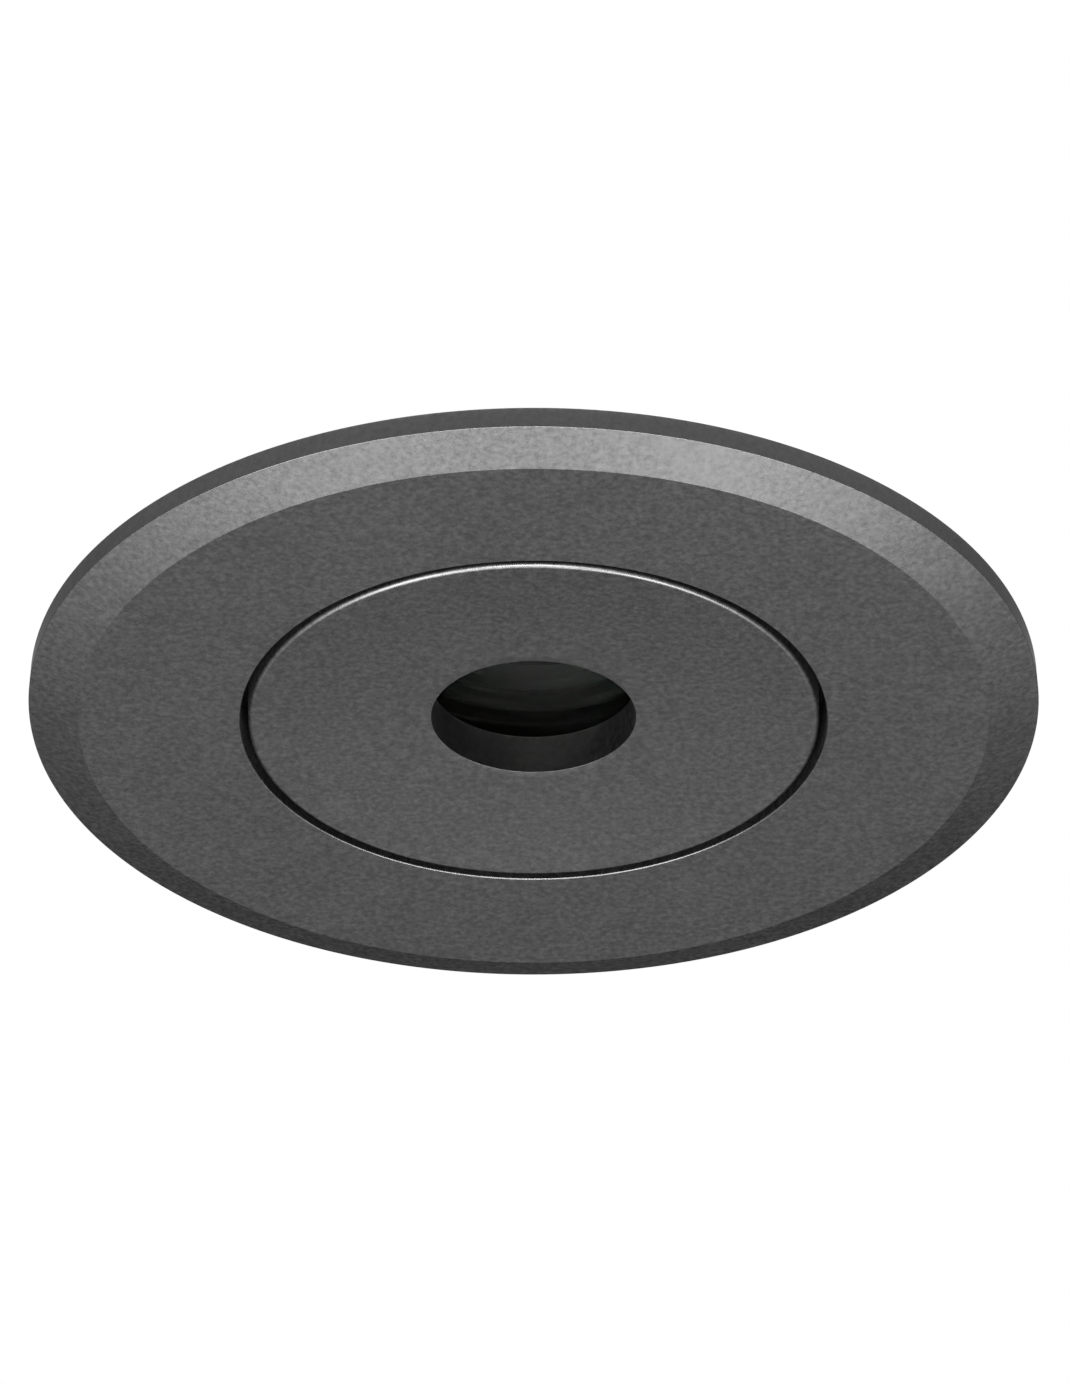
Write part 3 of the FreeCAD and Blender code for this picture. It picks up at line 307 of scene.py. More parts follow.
@dataclass(frozen=True)
class Clear(Finish):
    """Glass or clear plastic: polished, with the faintest waviness of its surface."""

    index: float = 1.5

    def shader(self, tree: bpy.types.NodeTree) -> bpy.types.Node:
        """A shader that lets the light through."""
        return add_node(tree, "ShaderNodeBsdfPrincipled", {"Transmission Weight": 1.0, "IOR": self.index})


# Bead-blasted and anodised aluminium is a satin dark grey that lightens sharply where it faces the lamp.
ANODISED_TRIM = BlastedAnodising(
    "bead_blasted_dark_anodised_aluminium", "trim_anodised", "#4e4e4e", "#595959",
    roughness=0.40, grain=0.6, relief=0.001, roughness_spread=0.05, metallic=1.0,
)
# Powder coat on a die casting: a soft black with the orange peel that the powder leaves as it flows.
POWDER_COAT = Finish(
    "black_powder_coated_die_cast_aluminium", "cast_black", "#1f2022", "#292a2c",
    roughness=0.46, grain=0.55, relief=0.03,
)
# Closed-cell foam swallows light, so it is the dullest black on the trim.
NEOPRENE_FOAM = Foam(
    "black_closed_cell_neoprene_foam", "gasket_foam", "#1a1a1a", "#2c2c2c",
    roughness=0.9, grain=0.5, relief=0.12, roughness_spread=0.04,
)
# Moulded rubber is matt, with a bloom that greys it slightly.
MOULDED_RUBBER = Finish(
    "moulded_black_nitrile_rubber", "black_rubber", "#1c1c1c", "#272727",
    roughness=0.68, grain=0.35, relief=0.02,
)
# Silicone is smoother than rubber and slightly see-through, which reads as a soft pale grey.
SILICONE = Finish(
    "moulded_grey_silicone", "silicone", "#9a9a9a", "#a6a6a6",
    roughness=0.42, grain=0.4, relief=0.008,
)
# Spark-eroded moulds give black polycarbonate a fine matt texture that kills stray light.
BLACK_POLYCARBONATE = Finish(
    "moulded_matt_black_polycarbonate", "black_plastic", "#161616", "#1e1e1e",
    roughness=0.6, grain=0.2, relief=0.015,
)
# White glass-filled plastic is an even off-white with a faint moulded texture.
WHITE_POLYBUTYLENE = Finish(
    "moulded_white_polyester_plastic", "white_plastic", "#e4e3dd", "#edece7",
    roughness=0.45, grain=0.3, relief=0.01,
)
# Rolled stainless sheet has fine lines along the rolling and a cool, even shine.
STAINLESS_SHEET = Drawn(
    "brushed_stainless_steel_sheet", "stainless_steel", "#b4b4b1", "#c6c6c3",
    roughness=0.3, grain=0.12, relief=0.002, metallic=1.0, stretch=(1.0, 1.0, 0.05),
)
# The ring above the plate, stainless in the record, is coloured near black: painted shade that keeps the gap
# round the plate dark.
SHADE_BLACKENED_SHEET = Finish(
    "blackened_stainless_steel_sheet", "stainless_steel", "#1d1d1e", "#262627",
    roughness=0.55, grain=0.3, relief=0.004, metallic=1.0,
)
# Spring wire is darker than sheet and has die lines along the wire.
SPRING_WIRE = Drawn(
    "drawn_stainless_spring_wire", "spring_steel", "#9c9a96", "#b3b1ad",
    roughness=0.24, grain=0.1, relief=0.002, metallic=1.0, stretch=(1.0, 0.2, 1.0),
)
# Nickel plate over turned brass is bright and faintly warm, and slightly uneven where the plating is thick.
NICKEL_PLATED_BRASS = Finish(
    "nickel_plated_brass", "nickel_brass", "#c8c3b8", "#cec9be",
    roughness=0.22, grain=0.6, relief=0.0006, roughness_spread=0.03, metallic=1.0,
)
# Nickel on a sintered magnet is bright, with the faint ripple of the pressing under it.
NICKEL_PLATED_MAGNET = Finish(
    "nickel_plated_neodymium", "nickel_magnet", "#c9c5bc", "#d8d4cb",
    roughness=0.16, grain=0.8, relief=0.003, roughness_spread=0.04, metallic=1.0,
)
# Bare brass dulls where it was handled, so its shine comes and goes.
BARE_BRASS = Finish(
    "turned_bare_brass", "bare_brass", "#c9a050", "#dcb868",
    roughness=0.28, grain=0.6, relief=0.003, roughness_spread=0.08, metallic=1.0,
)
# Toughened glass has a green cast in its edge. The low index stands for its anti-reflection coating, which
# leaves no mirror image of the room in the pinhole.
TOUGHENED_GLASS = Clear(
    "toughened_clear_float_glass", "clear_glass", "#f1f8f4", "#f5faf7",
    roughness=0.01, grain=6.0, relief=0.002, roughness_spread=0.01, index=1.2,
)
# Moulded acrylic lens, water-clear, with the slight waviness that moulding leaves.
OPTICAL_ACRYLIC = Clear(
    "polished_optical_acrylic", "clear_acrylic", "#f4f6f8", "#fafbfc",
    roughness=0.02, grain=3.0, relief=0.002, roughness_spread=0.015, index=1.49,
)
# Phosphor in silicone over the chips is a grainy egg-yolk yellow.
PHOSPHOR = Finish(
    "phosphor_filled_silicone", "phosphor", "#e2c23a", "#f0d65a",
    roughness=0.35, grain=0.15, relief=0.01,
)
# Solder mask on the board is a slightly uneven glossy white.
WHITE_SOLDER_MASK = Finish(
    "white_solder_mask", "board_white", "#e6e6e4", "#f0f0ee",
    roughness=0.32, grain=0.5, relief=0.004,
)
# The thermal pad is a soft filled silicone, speckled by its ceramic filler.
THERMAL_SILICONE = Finish(
    "ceramic_filled_thermal_silicone", "thermal_pad", "#7f868f", "#949aa2",
    roughness=0.75, grain=0.18, relief=0.01,
)
RED_SHEATH = Finish("red_lead_insulation", "lead_red", "#b5201c", "#c42b25", 0.4, 0.4, 0.004)
BLACK_SHEATH = Finish("black_lead_insulation", "lead_black", "#1b1b1b", "#242424", 0.4, 0.4, 0.004)

FINISHES: tuple[Finish, ...] = (
    ANODISED_TRIM, POWDER_COAT, NEOPRENE_FOAM, MOULDED_RUBBER, SILICONE, BLACK_POLYCARBONATE,
    WHITE_POLYBUTYLENE, STAINLESS_SHEET, SPRING_WIRE, NICKEL_PLATED_BRASS, NICKEL_PLATED_MAGNET, BARE_BRASS,
    TOUGHENED_GLASS, OPTICAL_ACRYLIC, PHOSPHOR, WHITE_SOLDER_MASK, THERMAL_SILICONE, RED_SHEATH, BLACK_SHEATH,
)

# CAD nodes whose finish isn't the usual one of their slot. The retaining ring's near black is painted shade
# for the gap round the plate.
NODE_FINISHES: dict[str, Finish] = {"retaining_ring": SHADE_BLACKENED_SHEET}


# ---------------------------------------------------------------- turned and hexagonal forms
class Outline(Enum):
    """Shape of a piece seen along its axis."""

    ROUND = "round"
    HEXAGON = "hexagon"


@dataclass(frozen=True)
class Section:
    """One level ring of a form about the Z axis.

    A hexagon's radius is half its width across flats. A flat cuts the ring off at that distance on both
    sides of the YZ plane, and a cap turns its corners down to that radius.
    """

    radius: float
    z: float
    edge_round: float = 0.0
    outline: Outline = Outline.ROUND
    flat: float = math.inf
    cap: float = math.inf

    def reach(self, angle: float) -> float:
        """Distance of the ring from the axis in one direction.

        Args:
            angle: The direction, in radians from the X axis.

        Returns:
            The distance in millimetres.
        """
        full = self.radius
        if self.outline is Outline.HEXAGON:
            side = FULL_TURN / 6
            full = self.radius / math.cos(angle % side - side / 2)
        across = abs(math.cos(angle))
        cut = self.flat / across if across * full > self.flat else full
        return min(full, cut, self.cap)

    def shifted(self, radius: float, z: float) -> "Section":
        """The same outline at another radius and height, its flats drawn in as far as its radius."""
        return Section(radius, z, 0.0, self.outline, self.flat - (self.radius - radius), self.cap)


def rounded(profile: Sequence[Section], closed: bool) -> list[Section]:
    """Replace the corners of a profile that have an edge round by arcs.

    Args:
        profile: The corners in order, each a section.
        closed: Whether the last corner joins the first.

    Returns:
        The sections of the finished profile.
    """
    sections = []
    last = len(profile) - 1
    for index, corner in enumerate(profile):
        at_end = not closed and index in (0, last)
        if corner.edge_round == 0 or at_end:
            sections.append(corner)
            continue
        here = Vector((corner.radius, corner.z))
        before = profile[index - 1]
        after = profile[(index + 1) % len(profile)]
        back = (Vector((before.radius, before.z)) - here).normalized()
        ahead = (Vector((after.radius, after.z)) - here).normalized()
        half_angle = back.angle(ahead) / 2
        centre = here + (back + ahead).normalized() * corner.edge_round / math.sin(half_angle)
        reach = corner.edge_round / math.tan(half_angle)
        start = here + back * reach - centre
        end = here + ahead * reach - centre
        for step in range(ARC_STEPS + 1):
            spoke = start.slerp(end, step / ARC_STEPS).normalized() * corner.edge_round + centre
            sections.append(corner.shifted(spoke.x, spoke.y))
    return sections


def directions(count: int, profile: Sequence[Section] = ()) -> list[float]:
    """Evenly spaced directions, with those of the corners between a round and its flats added."""
    angles = {index * FULL_TURN / count for index in range(count)}
    for section in profile:
        if section.flat < section.radius:
            corner = math.acos(section.flat / section.radius)
            angles |= {corner, math.pi - corner, math.pi + corner, FULL_TURN - corner}
    return sorted(angles)


def arch(share: float) -> float:
    """Height of an arch at a share of its span, one at the crown and nought at the feet."""
    return 4 * share * (1 - share)


def quarter(radius: float, z: float, across: float, steps: int) -> list[tuple[float, float]]:
    """Points after the first of a quarter round that leaves a radius level and ends upright."""
    turns = [step / steps * math.pi / 2 for step in range(1, steps + 1)]
    return [(radius + across * math.sin(turn), z + abs(across) * (1 - math.cos(turn))) for turn in turns]


def turned(
    name: str, profile: Sequence[Section | tuple[float, ...]], division: int = DIVISION
) -> bpy.types.Mesh:
    """Mesh that joins the sections of a profile round the Z axis.

    Args:
        name: The mesh's name.
        profile: The corners of the profile in order, as sections or as the values of plain round ones. It
            closes on itself unless it starts and ends on the axis.
        division: How many places the mesh has round the axis.

    Returns:
        The mesh, with its faces outward.
    """
    corners = [corner if isinstance(corner, Section) else Section(*corner) for corner in profile]
    closed = corners[0].radius > 0
    angles = directions(division, corners)
    points: list[tuple[float, float, float]] = []
    rows: list[list[int]] = []
    for section in rounded(corners, closed):
        first = len(points)
        if section.radius == 0:
            points.append((0.0, 0.0, section.z * MM))
            rows.append([first] * len(angles))
            continue
        for angle in angles:
            reach = section.reach(angle) * MM
            points.append((reach * math.cos(angle), reach * math.sin(angle), section.z * MM))
        rows.append(list(range(first, len(points))))
    pairs = list(zip(rows, rows[1:]))
    if closed:
        pairs.append((rows[-1], rows[0]))
    faces = []
    for low, high in pairs:
        for index in range(len(angles)):
            after = (index + 1) % len(angles)
            face = dict.fromkeys((low[index], low[after], high[after], high[index]))
            if len(face) > 2:
                faces.append(list(face))
    mesh = bpy.data.meshes.new(name)
    mesh.from_pydata(points, [], faces)
    shell = bmesh.new()
    shell.from_mesh(mesh)
    bmesh.ops.recalc_face_normals(shell, faces=shell.faces)
    shell.to_mesh(mesh)
    shell.free()
    return mesh


def finished(solid: bmesh.types.BMesh, name: str) -> bpy.types.Mesh:
    """The edited solid as a new mesh."""
    mesh = bpy.data.meshes.new(name)
    solid.to_mesh(mesh)
    solid.free()
    return mesh


def joined(name: str, mesh: bpy.types.Mesh, places: Iterable[Matrix]) -> bpy.types.Mesh:
    """One mesh of several placed copies of another.

    Args:
        name: The new mesh's name.
        mesh: The mesh that is copied.
        places: Each copy's place, in metres.

    Returns:
        The mesh that holds them all.
    """
    whole = bmesh.new()
    for place in places:
        before = len(whole.verts)
        whole.from_mesh(mesh)
        whole.verts.ensure_lookup_table()
        bmesh.ops.transform(whole, matrix=place, verts=whole.verts[before:])
    return finished(whole, name)


def placed(x: float = 0.0, y: float = 0.0, z: float = 0.0, turn: Matrix | None = None) -> Matrix:
    """Place at x, y, z millimetres, after an optional turn."""
    return Matrix.Translation(Vector((x, y, z)) * MM) @ (turn or Matrix.Identity(4))


def around(count: int, radius: float, z: float, first: float) -> list[Matrix]:
    """Places evenly spaced on a level circle, the first at an angle in degrees."""
    turns = [math.radians(first) + index * FULL_TURN / count for index in range(count)]
    return [Matrix.Rotation(turn, 4, "Z") @ placed(radius, 0, z) for turn in turns]


def combined(mesh: bpy.types.Mesh, other: bpy.types.Mesh, operation: str) -> bpy.types.Mesh:
    """Solid union or difference of two meshes.

    Args:
        mesh: The mesh that is changed.
        other: The mesh that is added to it or cut from it.
        operation: "UNION" or "DIFFERENCE".

    Returns:
        The result as a new mesh with the first one's name.
    """
    body = linked("body", mesh)
    tool = linked("tool", other)
    change = body.modifiers.new("solid", "BOOLEAN")
    change.operation = operation
    change.solver = "EXACT"
    change.object = tool
    view = bpy.context.evaluated_depsgraph_get()
    result = bpy.data.meshes.new_from_object(body.evaluated_get(view))
    result.name = mesh.name
    for piece in (body, tool):
        bpy.data.objects.remove(piece)
    return result


def shaded(mesh: bpy.types.Mesh) -> bpy.types.Mesh:
    """The mesh with smooth shading that breaks at its sharp edges."""
    mesh.polygons.foreach_set("use_smooth", [True] * len(mesh.polygons))
    mesh.set_sharp_from_angle(angle=SMOOTH_BELOW)
    return mesh


def show(mesh: bpy.types.Mesh, finish: Finish, node: str, body: str | None = ROOT_BODY) -> bpy.types.Object:
    """Put a mesh into the scene as a finished piece.

    Args:
        mesh: The piece's mesh, where the frame has the piece.
        finish: Its finish.
        node: The CAD node that it stands for.
        body: The body that it rides on, or None for a piece that rides on no body.

    Returns:
        The piece.
    """
    piece = linked(mesh.name, shaded(mesh))
    mesh.materials.clear()
    mesh.materials.append(finish.material())
    if body is not None:
        even = piece.modifiers.new("even_normals", "WEIGHTED_NORMAL")
        even.keep_sharp = True
        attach(piece, body)
    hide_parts(node)
    LOG.info("%s stands for %s, in %s", piece.name, node, finish.name)
    return piece


@dataclass(frozen=True)
class Extent:
    """How far a CAD node reaches from the light's axis, and its lowest and highest level."""

    radius: float
    low: float
    high: float

    @classmethod
    def of(cls, node: str) -> "Extent":
        """Read a node's extent from the frame."""
        low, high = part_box(node)
        return cls(high.y / MM, low.z / MM, high.z / MM)


# ---------------------------------------------------------------- screws
@dataclass(frozen=True)
class SocketScrew:
    """Cheese-head screw with a hexagon socket, its head above z = 0 and its shank below."""

    thread_r: float
    head_r: float
    head_height: float
    length: float
    socket_share: float = 0.45      # of the head's radius
    socket_depth_share: float = 0.6
    head_round_share: float = 0.16
    mouth_flare: float = 1.3
    mouth_depth: float = 0.1
    point_share: float = 0.2        # depth of the socket's drilled point, of its radius

    def mesh(self) -> bpy.types.Mesh:
        """The screw, with a rounded head and a bevelled socket mouth."""
        socket = self.head_r * self.socket_share
        floor = self.head_height * (1 - self.socket_depth_share)
        return turned("screw", [
            (0, -self.length),
            (self.thread_r, -self.length),
            (self.thread_r, 0),
            (self.head_r, 0),
            (self.head_r, self.head_height, self.head_height * self.head_round_share),
            (socket * self.mouth_flare, self.head_height),
            Section(socket, self.head_height - self.mouth_depth, outline=Outline.HEXAGON),
            Section(socket, floor, outline=Outline.HEXAGON),
            (0, floor - socket * self.point_share),
        ], SMALL_DIVISION)

    def build(self, name: str, node: str, places: Iterable[Matrix]) -> None:
        """Show copies of the screw as one piece."""
        show(joined(name, self.mesh(), places), STAINLESS_SHEET, node)


# ---------------------------------------------------------------- trim
@dataclass
class TrimRing:
    """Bevelled flange, spigot, glass seat and collar, turned in one piece."""

    bevel_width: float = 4.9
    bevel_rise: float = 1.58
    rim_taper: float = 0.13
    flange_back_z: float = -0.13
    gasket_groove_inner_r: float = 43.1
    spigot_r: float = 41.5
    spigot_lead_in: float = 0.4
    collar_r: float = 36.5
    flat_x: float = 32.4
    seal_groove: tuple[float, float, float] = (28.3, 30.2, 1.55)    # inner radius, outer radius and depth
    cavity_r: float = 27.0
    web_top_z: float = 10.1
    aperture_r: float = 20.5
    bore_r: float = 29.05
    seat_clearance: float = 0.05
    bevel_edge_round: float = 0.08
    rim_edge_round: float = 0.06
    lip_round: float = 0.15
    machined_edge_round: float = 0.2

    def build(self) -> None:
        """Turn the ring's profile."""
        ring = Extent.of("trim_ring")
        gasket = Extent.of("soffit_gasket")
        seat = Extent.of("glass_gasket")
        groove_outer_r = gasket.radius + self.seat_clearance
        pocket_r = seat.radius + self.seat_clearance
        seal_inner_r, seal_outer_r, seal_depth = self.seal_groove
        soft = self.machined_edge_round
        show(turned("anodised_trim_ring", [
            (self.bore_r, ring.low, self.lip_round),
            (ring.radius - self.bevel_width, ring.low, self.bevel_edge_round),
            (ring.radius, ring.low + self.bevel_rise, self.rim_edge_round),
            (ring.radius - self.rim_taper, self.flange_back_z, self.rim_edge_round),
            (groove_outer_r, self.flange_back_z),
            (groove_outer_r, gasket.low),
            (self.gasket_groove_inner_r, gasket.low),
            (self.gasket_groove_inner_r, self.flange_back_z),
            (self.spigot_r, self.flange_back_z),
            (self.spigot_r, seat.low - self.spigot_lead_in, soft),
            (self.spigot_r - self.spigot_lead_in, seat.low, soft),
            Section(self.collar_r, seat.low, flat=self.flat_x),
            Section(self.collar_r, ring.high, soft, flat=self.flat_x),
            (seal_outer_r, ring.high),
            (seal_outer_r, ring.high - seal_depth),
            (seal_inner_r, ring.high - seal_depth),
            (seal_inner_r, ring.high),
            (self.cavity_r, ring.high),
            (self.cavity_r, self.web_top_z),
            (self.aperture_r, self.web_top_z),
            (self.aperture_r, seat.high),
            (pocket_r, seat.high),
            (pocket_r, seat.low, soft),
            (self.bore_r, seat.low),
        ], FINE_DIVISION), ANODISED_TRIM, "trim_ring")


@dataclass
class PinholePlate:
    """Flush plate with a shallow dished front, a rounded rim and the pinhole, and its magnets."""

    dish_radius: float = 440.0
    dish_steps: int = 16
    rim_round: float = 0.45
    rim_steps: int = 10
    pinhole_r: float = 10.15
    pinhole_round: float = 0.02
    back_chamfer: float = 0.3
    magnet_r: float = 2.5
    magnet_circle_r: float = 24.375
    magnet_count: int = 3
    magnet_round: float = 0.25
    first_magnet: float = 90.0      # degrees from the X axis
    pocket_clearance: float = 0.05
    pocket_overshoot: float = 1.0   # how far the cutter stands out of the plate's back
    body: str = "plate"

    def dish_z(self, radius: float, rim_r: float, face_z: float) -> float:
        """Height of the hollow front at a radius."""
        return face_z + (rim_r ** 2 - radius ** 2) / (2 * self.dish_radius)

    def plate_mesh(self, plate: Extent) -> bpy.types.Mesh:
        """The plate without its magnet pockets.

        Args:
            plate: The CAD plate's extent.

        Returns:
            The turned mesh.
        """
        rim_r = plate.radius - self.rim_round
        hole_edge_r = self.pinhole_r + self.pinhole_round
        width = rim_r - hole_edge_r
        radii = [hole_edge_r + width * step / self.dish_steps for step in range(self.dish_steps + 1)]
        dish = [(radius, self.dish_z(radius, rim_r, plate.low)) for radius in radii]
        rim = quarter(rim_r, plate.low, self.rim_round, self.rim_steps)
        hole = quarter(hole_edge_r, dish[0][1], -self.pinhole_round, ARC_STEPS)[::-1]
        back = [
            (plate.radius, plate.high - self.back_chamfer),
            (plate.radius - self.back_chamfer, plate.high),
            (self.pinhole_r, plate.high, self.back_chamfer / 2),
        ]
        return turned("anodised_pinhole_plate", dish + rim + back + hole, FINE_DIVISION)

    def build(self) -> None:
        """Turn the plate, cut the pockets and set the magnets in them."""
        plate = Extent.of("pinhole_plate")
        magnets = Extent.of("plate_magnets")
        places = around(self.magnet_count, self.magnet_circle_r, 0, self.first_magnet)
        pocket_r = self.magnet_r + self.pocket_clearance
        above = magnets.high + self.pocket_overshoot
        pocket = turned("pocket", [
            (0, magnets.low),
            (pocket_r, magnets.low),
            (pocket_r, above),
            (0, above),
        ], SMALL_DIVISION)
        mesh = combined(self.plate_mesh(plate), joined("pockets", pocket, places), "DIFFERENCE")
        show(mesh, ANODISED_TRIM, "pinhole_plate", self.body)
        magnet = turned("magnet", [
            (0, magnets.low),
            (self.magnet_r, magnets.low, self.magnet_round),
            (self.magnet_r, magnets.high, self.magnet_round),
            (0, magnets.high),
        ], SMALL_DIVISION)
        magnets_mesh = joined("nickel_plated_magnets", magnet, places)
        show(magnets_mesh, NICKEL_PLATED_MAGNET, "plate_magnets", self.body)


# ---------------------------------------------------------------- optics
@dataclass
class Optics:
    """Front glass, stepped black cone, collimating lens and LED."""

    glass_edge: float = 0.3
    glass_round: float = 0.1
    cone_steps: int = 5
    cone_step_gap: float = 0.12     # between the last step and the neck's end
    cone_wall: float = 0.8
    cone_flange: float = 1.0
    cone_flange_round: float = 0.2
    cone_mouth_r: float = 20.4
    cone_neck_r: float = 10.8
    lens_side_start_r: float = 14.0
    lens_back_r: float = 6.0
    lens_rim_thickness: float = 1.0
    lens_rim_round: float = 0.15
    lens_bulge: float = 1.1
    lens_side_steps: int = 12
    well_r: float = 4.6
    well_depth: float = 3.5
    well_dome: float = 0.8
    well_steps: int = 5
    well_mouth_round: float = 0.1
    dam_width: float = 0.7
    dam_height: float = 0.2
    dam_round: float = 0.08
    # How far the phosphor bulges at shares of its radius.
    phosphor_crown: tuple[tuple[float, float], ...] = ((0.0, 0.05), (0.8, 0.03))

    def build(self) -> None:
        """Build the pieces behind the pinhole, from the front to the back."""
        self.build_glass()
        self.build_cone()
        self.build_lens()
        self.build_emitter()

    def build_glass(self) -> None:
        """Flat disc with ground edges."""
        glass = Extent.of("front_glass")
        edge_r = glass.radius - self.glass_edge
        mesh = turned("toughened_front_glass", [
            (0, glass.low),
            (edge_r, glass.low, self.glass_round),
            (glass.radius, glass.low + self.glass_edge, self.glass_round),
            (glass.radius, glass.high - self.glass_edge, self.glass_round),
            (edge_r, glass.high, self.glass_round),
            (0, glass.high),
        ])
        show(mesh, TOUGHENED_GLASS, "front_glass")

    def build_cone(self) -> None:
        """Black cone whose inside is cut in steps, so that it shows no glare."""
        cone = Extent.of("anti_glare_baffle")
        flange_z = cone.high - self.cone_flange
        mouth_r = self.cone_mouth_r - self.cone_wall
        tread = (mouth_r - self.cone_neck_r) / self.cone_steps
        rise = (cone.high - cone.low) / self.cone_steps
        steps = [(mouth_r, cone.low)]
        for step in range(self.cone_steps):
            level = cone.low + (step + 1) * rise - self.cone_step_gap
            steps += [(mouth_r - step * tread, level), (mouth_r - (step + 1) * tread, level)]
        outside_r = self.cone_mouth_r - tread / rise * (flange_z - cone.low)
        mesh = turned("stepped_anti_glare_cone", steps + [
            (self.cone_neck_r, cone.high),
            (cone.radius, cone.high, self.cone_flange_round),
            (cone.radius, flange_z, self.cone_flange_round),
            (outside_r, flange_z),
            (self.cone_mouth_r, cone.low),
        ])
        show(mesh, BLACK_POLYCARBONATE, "anti_glare_baffle")

    def build_lens(self) -> None:
        """Bowed cone of clear acrylic with a rim at its front and a domed well at its back."""
        lens = Extent.of("tir_lens")
        side_start = Vector((self.lens_side_start_r, lens.low + self.lens_rim_thickness))
        side_end = Vector((self.lens_back_r, lens.high))
        across = (side_end - side_start).orthogonal().normalized()
        bow = across * self.lens_bulge * (-1 if across.x < 0 else 1)
        side = []
        for step in range(self.lens_side_steps + 1):
            share = step / self.lens_side_steps
            point = side_start.lerp(side_end, share) + bow * arch(share)
            side.append((point.x, point.y))
        well_z = lens.high - self.well_depth
        dome = [
            (self.well_r * share, well_z + self.well_dome * (1 - share ** 2))
            for share in (1 - step / self.well_steps for step in range(self.well_steps + 1))
        ]
        mesh = turned("acrylic_collimator", [
            (0, lens.low),
            (lens.radius, lens.low, self.lens_rim_round),
            (lens.radius, lens.low + self.lens_rim_thickness, self.lens_rim_round),
            *side,
            (self.well_r, lens.high, self.well_mouth_round),
            *dome,
        ])
        show(mesh, OPTICAL_ACRYLIC, "tir_lens")

    def build_emitter(self) -> None:
        """White dam ring, and the phosphor poured inside it, which faces down."""
        emitter = Extent.of("led_emitter")
        inner_r = emitter.radius - self.dam_width
        fill_z = emitter.low + self.dam_height
        dam = turned("led_dam_ring", [
            (inner_r, emitter.low, self.dam_round),
            (emitter.radius, emitter.low, self.dam_round),
            (emitter.radius, emitter.high),
            (inner_r, emitter.high),
        ])
        show(dam, WHITE_SOLDER_MASK, "led_emitter")
        fill = turned("led_phosphor", [
            *((inner_r * share, fill_z - height) for share, height in self.phosphor_crown),
            (inner_r, fill_z),
            (inner_r, emitter.high),
            (0, emitter.high),
        ])
        show(fill, PHOSPHOR, "led_emitter")


